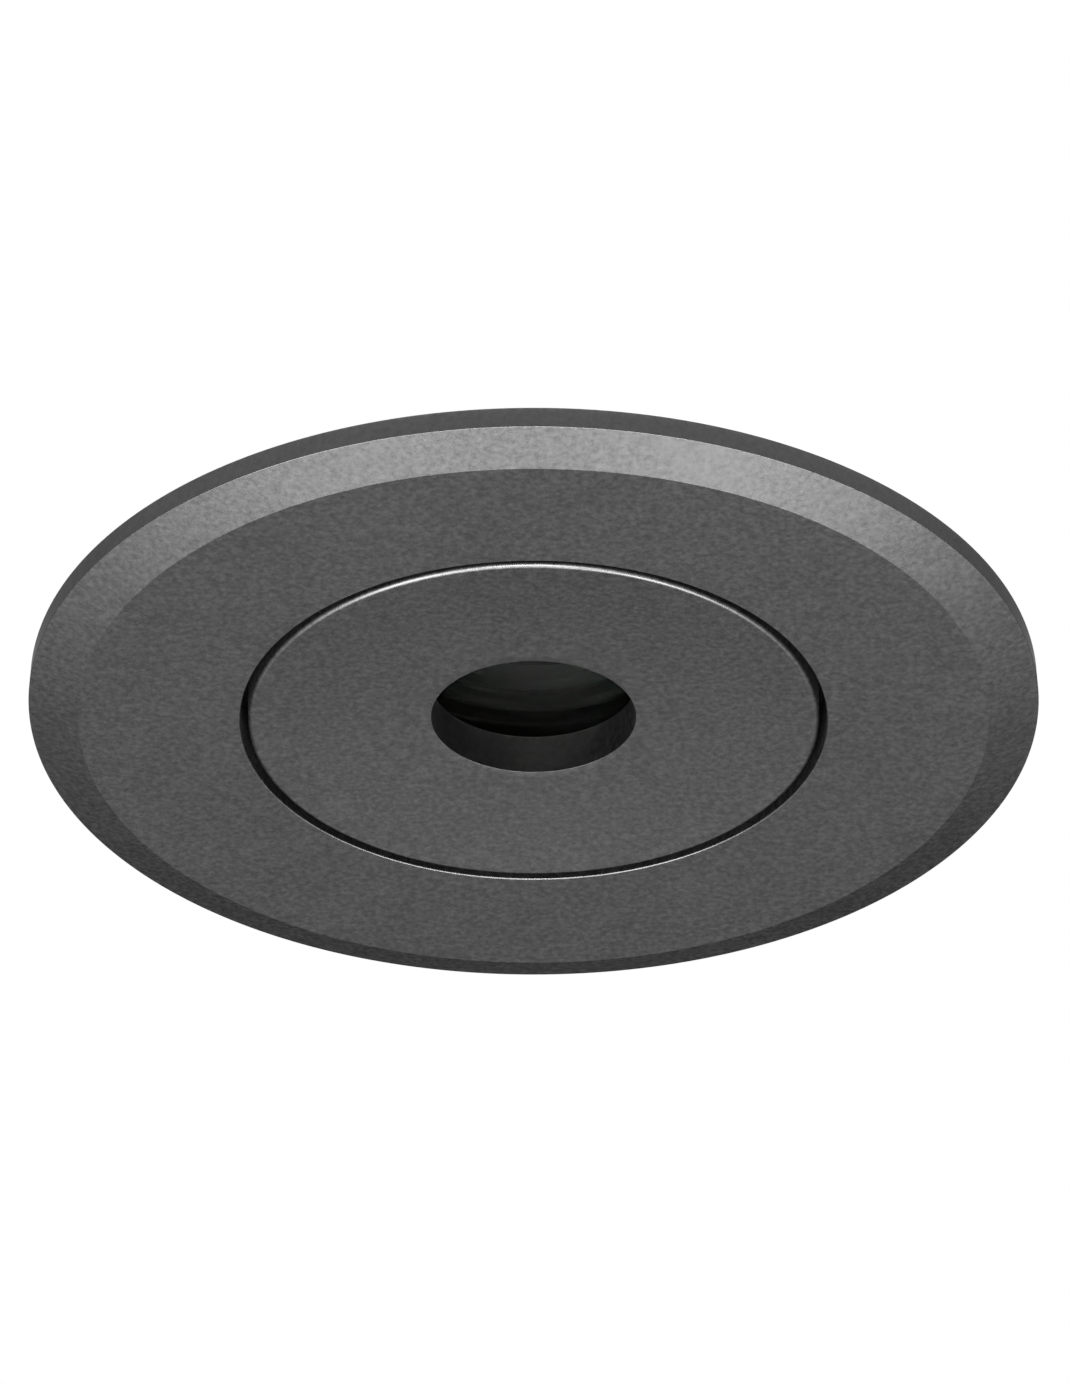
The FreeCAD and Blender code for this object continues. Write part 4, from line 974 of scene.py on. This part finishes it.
# ---------------------------------------------------------------- can
@dataclass
class HeatSink:
    """Die-cast can: flange with the clip flats, shoulder, core, fins and wiring chamber."""

    flat_x: float = 32.4
    flange_r: float = 36.5
    flange_top_z: float = 20.0
    shoulder_r: float = 29.5
    cavity_r: float = 27.0
    floor_z: float = 24.0
    shoulder_top_z: float = 29.0
    core_r: float = 20.0
    chamber_r: float = 15.0
    fin_places: int = 24
    clear_sector: float = 15.0      # degrees on each side of the X axis that have no fin
    fin_thickness: float = 1.6
    fin_reach: float = 38.0
    fin_drop: float = 2.0
    fin_corner: float = 5.0
    # The root's flare in millimetres out from the core and off the fin's side.
    fin_flare: tuple[tuple[float, float], ...] = ((-0.2, 0.9), (0.36, 0.315), (1.17, 0.0))
    fin_sunk: float = 1.0           # how deep its root and foot are sunk in the can
    fin_bevel_margin: float = 0.5   # how far below the cut corner the bevelled edges begin
    fin_edge_round: float = 0.35
    cast_round: float = 0.6
    screw_circle_r: float = 33.1
    screw_count: int = 4

    def body_mesh(self, can: Extent) -> bpy.types.Mesh:
        """The can without its fins.

        Args:
            can: The CAD heat sink's extent.

        Returns:
            The turned mesh.
        """
        soft = self.cast_round
        return turned("powder_coated_heat_sink", [
            (0, self.floor_z),
            (self.cavity_r, self.floor_z),
            (self.cavity_r, can.low),
            Section(self.flange_r, can.low, flat=self.flat_x),
            Section(self.flange_r, self.flange_top_z, soft, flat=self.flat_x),
            (self.shoulder_r, self.flange_top_z, soft),
            (self.shoulder_r, self.shoulder_top_z, soft),
            (self.core_r, self.shoulder_top_z, soft),
            (self.core_r, can.high),
            (self.chamber_r, can.high),
            (self.chamber_r, self.shoulder_top_z),
            (0, self.shoulder_top_z),
        ])

    def fin_mesh(self, can: Extent) -> bpy.types.Mesh:
        """One fin along the X axis: flared at its root, rounded at its edge, with its top corner cut off.

        Args:
            can: The CAD heat sink's extent.

        Returns:
            The mesh.
        """
        half = self.fin_thickness / 2
        top = can.high - self.fin_drop
        turns = [math.pi * (step / (2 * ARC_STEPS) - 0.5) for step in range(2 * ARC_STEPS + 1)]
        nose = [(self.fin_reach - half + half * math.cos(turn), half * math.sin(turn)) for turn in turns]
        root = (-self.fin_sunk, self.fin_flare[0][1])
        flank = [(self.core_r + out, half + off) for out, off in (root, *self.fin_flare)]
        plan = [(x, -y) for x, y in flank] + nose + flank[::-1]
        solid = bmesh.new()
        low = self.flange_top_z - self.fin_sunk
        bottom = [solid.verts.new((x * MM, y * MM, low * MM)) for x, y in plan]
        face = solid.faces.new(bottom)
        raised = bmesh.ops.extrude_face_region(solid, geom=[face])["geom"]
        lifted = [item for item in raised if isinstance(item, bmesh.types.BMVert)]
        bmesh.ops.translate(solid, verts=lifted, vec=Vector((0, 0, (top - low) * MM)))
        corner_z = top - self.fin_corner
        cut = bmesh.ops.bisect_plane(
            solid,
            geom=solid.verts[:] + solid.edges[:] + solid.faces[:],
            plane_co=Vector((self.fin_reach, 0, corner_z)) * MM,
            plane_no=Vector((1, 0, 1)).normalized(),
            clear_outer=True,
        )
        rim = [item for item in cut["geom_cut"] if isinstance(item, bmesh.types.BMEdge)]
        bmesh.ops.contextual_create(solid, geom=rim)
        bmesh.ops.recalc_face_normals(solid, faces=solid.faces)
        sharp = [
            edge for edge in solid.edges
            if min(vert.co.z for vert in edge.verts) > (corner_z - self.fin_bevel_margin) * MM
            and edge.calc_face_angle(0) > SMOOTH_BELOW
        ]
        bmesh.ops.bevel(
            solid, geom=sharp, offset=self.fin_edge_round * MM, segments=2, affect="EDGES", profile=0.5
        )
        return finished(solid, "fin")

    def fin_angles(self) -> list[float]:
        """Directions of the fins in degrees, leaving out those beside the clips."""
        pitch = 360 / self.fin_places
        angles = [(index + 0.5) * pitch for index in range(self.fin_places)]
        return [angle for angle in angles if min(angle % 180, -angle % 180) > self.clear_sector]

    def build(self) -> None:
        """Cast the can, then set its screws."""
        can = Extent.of("heat_sink")
        fin = self.fin_mesh(can)
        turns = [Matrix.Rotation(math.radians(angle), 4, "Z") for angle in self.fin_angles()]
        show(combined(self.body_mesh(can), joined("fins", fin, turns), "UNION"), POWDER_COAT, "heat_sink")
        screw = SocketScrew(thread_r=1.5, head_r=2.75, head_height=1.65, length=10)
        places = around(self.screw_count, self.screw_circle_r, self.flange_top_z, 180 / self.screw_count)
        screw.build("stainless_housing_screws", "housing_screws", places)


@dataclass
class RearCover:
    """Cast lid with its screws."""

    gland_hole_r: float = 8.2
    foot_round: float = 0.15
    edge_round: float = 0.6
    screw_circle_r: float = 17.5
    screw_count: int = 4

    def build(self) -> None:
        """Turn the lid and set the screws."""
        lid = Extent.of("rear_cover")
        mesh = turned("powder_coated_rear_cover", [
            (self.gland_hole_r, lid.low),
            (lid.radius, lid.low, self.foot_round),
            (lid.radius, lid.high, self.edge_round),
            (self.gland_hole_r, lid.high),
        ])
        show(mesh, POWDER_COAT, "rear_cover")
        screw = SocketScrew(thread_r=1.25, head_r=2.0, head_height=1.6, length=10)
        places = around(self.screw_count, self.screw_circle_r, lid.high, 180 / self.screw_count)
        screw.build("stainless_cover_screws", "cover_screws", places)


@dataclass
class CableGland:
    """Nickel-plated gland body and its domed nut."""

    body_across: float = 20.0
    body_hex_z: tuple[float, float] = (63.0, 67.0)
    neck_r: float = 7.6
    neck_top_z: float = 73.0
    thread_r: float = 8.0
    way_r: float = 4.6
    seal_seat_r: float = 5.9
    seal_seat_z: float = 65.0
    nut_across: float = 19.0
    nut_shoulder_z: float = 75.0
    dome_top_r: float = 5.6
    dome_bulge: float = 0.5 * math.sqrt(2)
    dome_lift: float = 0.5          # how far the bulge goes up, as a share of how far it goes out
    dome_steps: int = 8
    nut_way_r: float = 4.2
    nut_bore_r: float = 7.65
    seal_top_z: float = 74.5
    corner_chamfer: float = 0.6
    foot_round: float = 0.4
    edge_round: float = 0.3
    thread_pitch: float = 1.5
    # One turn of the thread, as shares of its pitch, and how deep it is there.
    thread_form: tuple[tuple[float, float], ...] = ((0.15, 0.0), (0.45, 0.0), (0.8, 0.45))

    def hexagon_sections(self, across: float, low: float, high: float) -> list[Section]:
        """Outside of a hexagonal bar whose corners are turned off at both ends."""
        apothem = across / 2
        rise = self.corner_chamfer
        cap = apothem / math.cos(FULL_TURN / 12) - rise
        return [
            Section(apothem, low, outline=Outline.HEXAGON, cap=cap),
            Section(apothem, low + rise, outline=Outline.HEXAGON),
            Section(apothem, high - rise, outline=Outline.HEXAGON),
            Section(apothem, high, outline=Outline.HEXAGON, cap=cap),
        ]

    def build(self) -> None:
        """Build the body and the nut."""
        body = Extent.of("gland_body")
        low, high = self.body_hex_z
        thread = [
            (self.neck_r - depth, high + (turn + share) * self.thread_pitch)
            for turn in range(int((self.neck_top_z - high) / self.thread_pitch))
            for share, depth in self.thread_form
        ]
        mesh = turned("nickel_plated_gland_body", [
            (self.way_r, body.low),
            (self.thread_r, body.low, self.foot_round),
            (self.thread_r, low),
            *self.hexagon_sections(self.body_across, low, high),
            *thread,
            (self.neck_r, self.neck_top_z, self.edge_round),
            (self.seal_seat_r, self.neck_top_z),
            (self.seal_seat_r, self.seal_seat_z),
            (self.way_r, self.seal_seat_z),
        ])
        show(mesh, NICKEL_PLATED_BRASS, "gland_body")
        self.build_nut()

    def build_nut(self) -> None:
        """Hexagonal nut with a domed top."""
        nut = Extent.of("gland_nut")
        base_r = self.nut_across / 2 - self.corner_chamfer
        rise = nut.high - self.nut_shoulder_z
        dome = []
        for step in range(self.dome_steps + 1):
            share = step / self.dome_steps
            bulge = self.dome_bulge * arch(share)
            radius = base_r + (self.dome_top_r - base_r) * share + bulge
            dome.append((radius, self.nut_shoulder_z + rise * share + bulge * self.dome_lift))
        dome[-1] = (self.dome_top_r, nut.high, self.edge_round)
        mesh = turned("nickel_plated_gland_nut", [
            (self.nut_bore_r, nut.low),
            *self.hexagon_sections(self.nut_across, nut.low, self.nut_shoulder_z),
            *dome,
            (self.nut_way_r, nut.high, self.edge_round),
            (self.nut_way_r, self.seal_top_z),
            (self.nut_bore_r, self.seal_top_z),
        ])
        show(mesh, NICKEL_PLATED_BRASS, "gland_nut")


# ---------------------------------------------------------------- spring clips
class Side(Enum):
    """The two clips, by the sign of their place on the X axis."""

    RIGHT = 1
    LEFT = -1

    @property
    def word(self) -> str:
        """The side's word in the names of nodes and bodies."""
        return self.name.lower()

    @property
    def turn(self) -> Matrix:
        """Turn that takes the right clip to this side."""
        return Matrix.Rotation(0 if self is Side.RIGHT else math.pi, 4, "Z")


@dataclass
class SpringClip:
    """Bracket, pin, arm, rubber tip and torsion spring of one clip."""

    side: Side
    pin_x: float = 36.5
    pin_z: float = 15.0
    pin_r: float = 1.25
    pin_head: float = 0.7
    pin_head_r: float = 1.9
    pin_head_round: float = 0.35
    wire_r: float = 0.5
    coil_r: float = 2.3
    whole_turns: int = 4
    coil_pitch: float = 1.45
    arm_droop: float = 12.0
    fixed_leg: float = 5.0
    arm_leg: float = 12.0
    leg_shares: tuple[float, ...] = (0.33, 0.66, 1.0)   # where the legs have points
    steps_per_turn: int = 40
    wire_sides: int = 12
    sheet_edge_round: float = 0.12
    rubber_edge_round: float = 0.25
    screw_side_y: float = 11.16
    screw_z: float = 9.5
    bracket_face_x: float = 33.4
    merge_distance: float = 0.001
    flat_below: float = 0.5         # degrees between faces that count as one

    @property
    def turns(self) -> float:
        """Turns of the coil, from the upright fixed leg round to the leg on the arm."""
        return self.whole_turns + (90 - self.arm_droop) / 360

    def coil_point(self, turn: float) -> Vector:
        """Middle of the wire after a number of turns, about the pin, in millimetres."""
        angle = math.pi + turn * FULL_TURN
        along = (turn - self.turns / 2) * self.coil_pitch
        return Vector((self.coil_r * math.cos(angle), along, self.coil_r * math.sin(angle)))

    def wire_path(self) -> list[Vector]:
        """Points on the middle of the wire, from the end of the fixed leg to the end of the arm's leg."""
        steps = math.ceil(self.turns * self.steps_per_turn)
        coil = [self.coil_point(self.turns * step / steps) for step in range(steps + 1)]
        into = (coil[1] - coil[0]).normalized()
        out = (coil[-1] - coil[-2]).normalized()
        fixed = [coil[0] - into * self.fixed_leg * share for share in reversed(self.leg_shares)]
        arm = [coil[-1] + out * self.arm_leg * share for share in self.leg_shares]
        return fixed + coil + arm

    def spring_mesh(self) -> bpy.types.Mesh:
        """Round wire along the path, with rounded ends."""
        path = [point + Vector((self.pin_x, 0, self.pin_z)) for point in self.wire_path()]
        solid = bmesh.new()
        rings = []
        across = Vector((0, 1, 0))
        turns = directions(self.wire_sides)
        for index, point in enumerate(path):
            ahead = path[min(index + 1, len(path) - 1)] - path[max(index - 1, 0)]
            ahead.normalize()
            across = (across - ahead * across.dot(ahead)).normalized()
            other = ahead.cross(across)
            spokes = [across * math.cos(turn) + other * math.sin(turn) for turn in turns]
            rings.append([solid.verts.new((point + spoke * self.wire_r) * MM) for spoke in spokes])
        for low, high in zip(rings, rings[1:]):
            for index in range(self.wire_sides):
                after = (index + 1) % self.wire_sides
                solid.faces.new((low[index], low[after], high[after], high[index]))
        solid.faces.new(rings[0])
        solid.faces.new(rings[-1])
        bmesh.ops.recalc_face_normals(solid, faces=solid.faces)
        mesh = finished(solid, f"spring_wire_coil_{self.side.word}")
        mesh.transform(self.side.turn)
        return mesh

    def build_spring(self) -> None:
        """The torsion spring, whose wire runs from a leg on the housing round the pin to a leg on the arm, on
        no body.
        """
        piece = show(self.spring_mesh(), SPRING_WIRE, f"clip_spring_{self.side.word}", body=None)
        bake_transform(piece)

    def build_sheet(self, name: str, node: str, finish: Finish, edge: float, body: str) -> None:
        """Pressed or moulded piece: the solid's own form with its edges broken.

        Args:
            name: The piece's name.
            node: The CAD node whose form it takes and stands for.
            finish: Its finish.
            edge: The width of the broken edge.
            body: The body that it rides on.
        """
        solid = bmesh.new()
        solid.from_mesh(bpy.data.objects[node].data)
        bmesh.ops.remove_doubles(solid, verts=solid.verts, dist=self.merge_distance * MM)
        limit = math.radians(self.flat_below)
        bmesh.ops.dissolve_limit(solid, angle_limit=limit, verts=solid.verts, edges=solid.edges)
        piece = show(finished(solid, f"{name}_{self.side.word}"), finish, node, body)
        broken = piece.modifiers.new("broken_edges", "BEVEL")
        broken.width = edge * MM
        broken.segments = 2
        broken.limit_method = "ANGLE"
        broken.angle_limit = SMOOTH_BELOW
        broken.use_clamp_overlap = True
        piece.modifiers.move(1, 0)

    def build_pin(self) -> None:
        """The pin with its riveted heads."""
        node = f"clip_pin_{self.side.word}"
        half = Extent.of(node).radius       # the pin lies across the axis
        inner = half - self.pin_head
        along = Matrix.Rotation(math.pi / 2, 4, "X")
        mesh = turned(f"riveted_pin_{self.side.word}", [
            (0, -half),
            (self.pin_head_r, -half, self.pin_head_round),
            (self.pin_head_r, -inner),
            (self.pin_r, -inner),
            (self.pin_r, inner),
            (self.pin_head_r, inner),
            (self.pin_head_r, half, self.pin_head_round),
            (0, half),
        ], SMALL_DIVISION)
        mesh.transform(self.side.turn @ placed(self.pin_x, 0, self.pin_z, along))
        show(mesh, STAINLESS_SHEET, node)

    def screw_places(self) -> list[Matrix]:
        """Places of this clip's two bracket screws, heads outward."""
        outward_turn = Matrix.Rotation(math.pi / 2, 4, "Y")
        return [
            self.side.turn @ placed(self.bracket_face_x, side * self.screw_side_y, self.screw_z, outward_turn)
            for side in (-1, 1)
        ]

    def build(self) -> None:
        """Build the clip's pieces."""
        word = self.side.word
        arm_body = f"clip_{word}"
        edge = self.sheet_edge_round
        self.build_sheet("pressed_bracket", f"clip_bracket_{word}", STAINLESS_SHEET, edge, ROOT_BODY)
        self.build_sheet("pressed_arm", f"clip_arm_{word}", STAINLESS_SHEET, edge, arm_body)
        self.build_sheet("rubber_tip", f"clip_tip_{word}", MOULDED_RUBBER, self.rubber_edge_round, arm_body)
        self.build_pin()
        self.build_spring()


def build_bracket_screws(clips: Sequence[SpringClip]) -> None:
    """All four bracket screws, which are one node."""
    screw = SocketScrew(thread_r=1.5, head_r=2.75, head_height=1.65, length=6)
    places = [place for clip in clips for place in clip.screw_places()]
    screw.build("stainless_bracket_screws", "clip_bracket_screws", places)


# ---------------------------------------------------------------- soffit, floor, lamps and camera
@dataclass(frozen=True)
class Lamp:
    """Soft square lamp that faces the trim."""

    name: str
    side: float                     # millimetres
    distance: float                 # millimetres from the target
    bearing: float                  # degrees round the Z axis, nought at the camera and ninety to its right
    lift: float                     # degrees above the soffit, below it if negative
    power: float                    # watts
    target_z: float = 0.0

    def build(self) -> None:
        """Hang the lamp."""
        bearing = math.radians(self.bearing)
        lift = math.radians(self.lift)
        toward = Vector((
            math.sin(bearing) * math.cos(lift),
            -math.cos(bearing) * math.cos(lift),
            math.sin(lift),
        ))
        data = bpy.data.lights.new(self.name, "AREA")
        data.shape = "SQUARE"
        data.size = self.side * MM
        data.energy = self.power
        lamp = faced(self.name, data, toward * self.distance + Vector((0, 0, self.target_z)), toward)
        LOG.info("lamp %s at %s", self.name, tuple(round(value, 3) for value in lamp.location))


@dataclass(frozen=True)
class StagePlane:
    """Flat ring of the stage, solid to some rays and clear to the rest.

    Two numbers choose, each nought or one: whether the ray comes from the camera, and whether it meets the
    ring's back. COMPARE gives one where they agree, and SUBTRACT gives one to the camera's rays alone, and
    only on the ring's front.
    """

    name: str
    inner: float                    # radius in millimetres
    outer: float
    z: float
    operation: str
    solid_at_one: bool
    glow: float = 1.0
    chalk: float = 0.0              # share of the lamps' light that it scatters

    def wire(self, tree: bpy.types.NodeTree) -> None:
        """Fill the ring's material.

        Args:
            tree: The material's empty tree.
        """
        path = add_node(tree, "ShaderNodeLightPath")
        side = add_node(tree, "ShaderNodeNewGeometry")
        share = add_node(
            tree,
            "ShaderNodeMath",
            {"operation": self.operation, 2: 0.5},
            {0: path.outputs["Is Camera Ray"], 1: side.outputs["Backfacing"]},
        )
        solid = add_node(tree, "ShaderNodeEmission", {"Strength": self.glow})
        if self.chalk:
            scatter = add_node(tree, "ShaderNodeBsdfDiffuse", {"Color": (self.chalk,) * 3 + (1.0,)})
            solid = add_node(tree, "ShaderNodeAddShader", links={0: solid.outputs[0], 1: scatter.outputs[0]})
        clear = add_node(tree, "ShaderNodeBsdfTransparent")
        at_nought, at_one = (clear, solid) if self.solid_at_one else (solid, clear)
        mixed = add_node(
            tree,
            "ShaderNodeMixShader",
            links={0: share.outputs[0], 1: at_nought.outputs[0], 2: at_one.outputs[0]},
        )
        add_node(tree, "ShaderNodeOutputMaterial", links={"Surface": mixed.outputs[0]})

    def build(self) -> None:
        """Lay the ring."""
        points = [
            (radius * MM * math.cos(angle), radius * MM * math.sin(angle), self.z * MM)
            for radius in (self.inner, self.outer)
            for angle in directions(DIVISION)
        ]
        faces = [
            (index, index + DIVISION, (index + 1) % DIVISION + DIVISION, (index + 1) % DIVISION)
            for index in range(DIVISION)
        ]
        mesh = bpy.data.meshes.new(self.name)
        mesh.from_pydata(points, [], faces)
        material = empty_material(self.name)
        material.cycles.emission_sampling = "NONE"
        self.wire(material.node_tree)
        mesh.materials.append(material)
        linked(self.name, mesh)
        LOG.info("stage plane %s", self.name)


@dataclass
class Studio:
    """The white soffit, a pale floor for views from above, the lamps, the room and the camera."""

    photo_height: float = 1384.0                    # pixels
    face_centre_px: tuple[float, float] = (533.6, 723.5)
    image_centre_px: tuple[float, float] = (535.0, 692.0)
    scale_px: float = 10.105                        # pixels per millimetre at the trim's face
    camera_lift: float = -32.92                     # degrees; the camera looks up from below the soffit
    camera_distance: float = 1212.0
    sensor: float = 36.0
    cutout_r: float = 42.5
    soffit_r: float = 4000.0
    floor_r: float = 1000.0         # past this the lamps leave the floor grey, so the white room takes over
    soffit_gap: float = 0.02        # keeps the soffit clear of the gasket's face
    rim_band: float = 10.0          # width of the soffit that the rim mirrors
    floor_hole_r: float = 0.001
    floor_glow: float = 0.62
    floor_chalk: float = 0.5
    clip: tuple[float, float] = (0.05, 100.0)       # metres
    ambient: float = 0.30
    # How bright the room is to reflections, by degrees above the horizon: pale below, dim round the walls and
    # as white overhead as the backdrop.
    room: tuple[tuple[float, float], ...] = (
        (-44, 1.0), (-36, 0.52), (-18, 0.44), (-8, 0.03), (19, 0.03), (29, 1.0),
    )
    lamps: tuple[Lamp, ...] = (
        Lamp("left_softbox_below", side=420, distance=1100, bearing=-90, lift=-68, power=11),
        Lamp("right_softbox_below", side=420, distance=1100, bearing=90, lift=-68, power=17),
        Lamp("front_softbox_below", side=420, distance=1100, bearing=0, lift=-50, power=21),
        Lamp("corner_softbox_below", side=420, distance=1100, bearing=-60, lift=-50, power=14),
        Lamp("front_softbox_above", side=900, distance=1200, bearing=-35, lift=75, power=20, target_z=40),
        Lamp("back_softbox_above", side=900, distance=1200, bearing=140, lift=66, power=12, target_z=40),
    )

    def build(self) -> None:
        """Set the stage and the camera."""
        face = Extent.of("trim_ring")
        gap = self.soffit_gap
        for plane in (
            StagePlane("white_soffit", self.cutout_r, self.soffit_r, gap, "COMPARE", True),
            # The band that the rim mirrors is solid to all but a camera above it.
            StagePlane("rim_soffit", face.radius, face.radius + self.rim_band, gap / 2, "SUBTRACT", False),
            StagePlane(
                "pale_floor", self.floor_hole_r, self.floor_r, face.low - gap, "SUBTRACT", True,
                self.floor_glow, self.floor_chalk,
            ),
        ):
            plane.build()
        self.build_world()
        for lamp in self.lamps:
            lamp.build()
        self.build_camera(face.low)
        bpy.context.scene.view_settings.view_transform = "Standard"

    def build_world(self) -> None:
        """The room: white to the camera, and by height to reflections and through the glass."""
        world = bpy.data.worlds.new("pale_room")
        bpy.context.scene.world = world
        world.use_nodes = True
        tree = world.node_tree
        tree.nodes.clear()
        path = add_node(tree, "ShaderNodeLightPath")
        place = add_node(tree, "ShaderNodeTexCoord")
        height = add_node(tree, "ShaderNodeSeparateXYZ", links={"Vector": place.outputs["Generated"]})
        share = add_node(
            tree, "ShaderNodeMapRange", {"From Min": -1.0, "From Max": 1.0}, {"Value": height.outputs["Z"]}
        )
        room = add_node(tree, "ShaderNodeValToRGB", links={"Fac": share.outputs["Result"]})
        while len(room.color_ramp.elements) < len(self.room):
            room.color_ramp.elements.new(0.5)
        for stop, (degrees, level) in zip(room.color_ramp.elements, self.room):
            stop.position = (math.sin(math.radians(degrees)) + 1) / 2
            stop.color = (level, level, level, 1.0)
        diffuse = add_node(
            tree,
            "ShaderNodeMix",
            {"B": self.ambient},
            {"Factor": path.outputs["Is Diffuse Ray"], "A": room.outputs["Color"]},
        )
        strength = add_node(
            tree,
            "ShaderNodeMix",
            {"B": 1.0},
            {"Factor": path.outputs["Is Camera Ray"], "A": diffuse.outputs["Result"]},
        )
        sky = add_node(
            tree,
            "ShaderNodeBackground",
            {"Color": (1.0, 1.0, 1.0, 1.0)},
            {"Strength": strength.outputs["Result"]},
        )
        add_node(tree, "ShaderNodeOutputWorld", links={"Surface": sky.outputs[0]})

    def build_camera(self, face_z: float) -> None:
        """Camera at the photograph's angle, below the soffit.

        Args:
            face_z: The level of the trim's face in millimetres.
        """
        lift = math.radians(self.camera_lift)
        toward = Vector((0, -math.cos(lift), math.sin(lift)))
        image_up = Vector((0, math.sin(lift), math.cos(lift)))
        aside = (self.image_centre_px[0] - self.face_centre_px[0]) / self.scale_px
        above = (self.face_centre_px[1] - self.image_centre_px[1]) / self.scale_px
        target = Vector((aside, 0, face_z)) + image_up * above
        data = bpy.data.cameras.new("camera")
        data.sensor_width = self.sensor
        data.lens = self.sensor * self.scale_px * self.camera_distance / self.photo_height
        data.clip_start, data.clip_end = self.clip
        bpy.context.scene.camera = faced("camera", data, target + toward * self.camera_distance, toward)


def dress_frame(frame: dict[str, Any]) -> None:
    """Give every CAD node the finish of its slot in the record.
    """
    by_slot = {finish.slot: finish for finish in FINISHES}
    for row in frame["record"]["subparts"]:
        node = frame["nodes"][row["node"]]
        node.data.materials.clear()
        finish = NODE_FINISHES.get(row["node"], by_slot[row["material_slot"]])
        node.data.materials.append(finish.material())


def main() -> None:
    """Load the frame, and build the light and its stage."""
    logging.basicConfig(level=logging.INFO, format="%(message)s")
    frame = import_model()
    dress_frame(frame)
    clips = [SpringClip(side) for side in Side]
    for assembly in (TrimRing(), PinholePlate(), Optics(), HeatSink(), RearCover(), CableGland(), *clips):
        assembly.build()
    build_bracket_screws(clips)
    Studio().build()


if __name__ == "__main__":
    main()
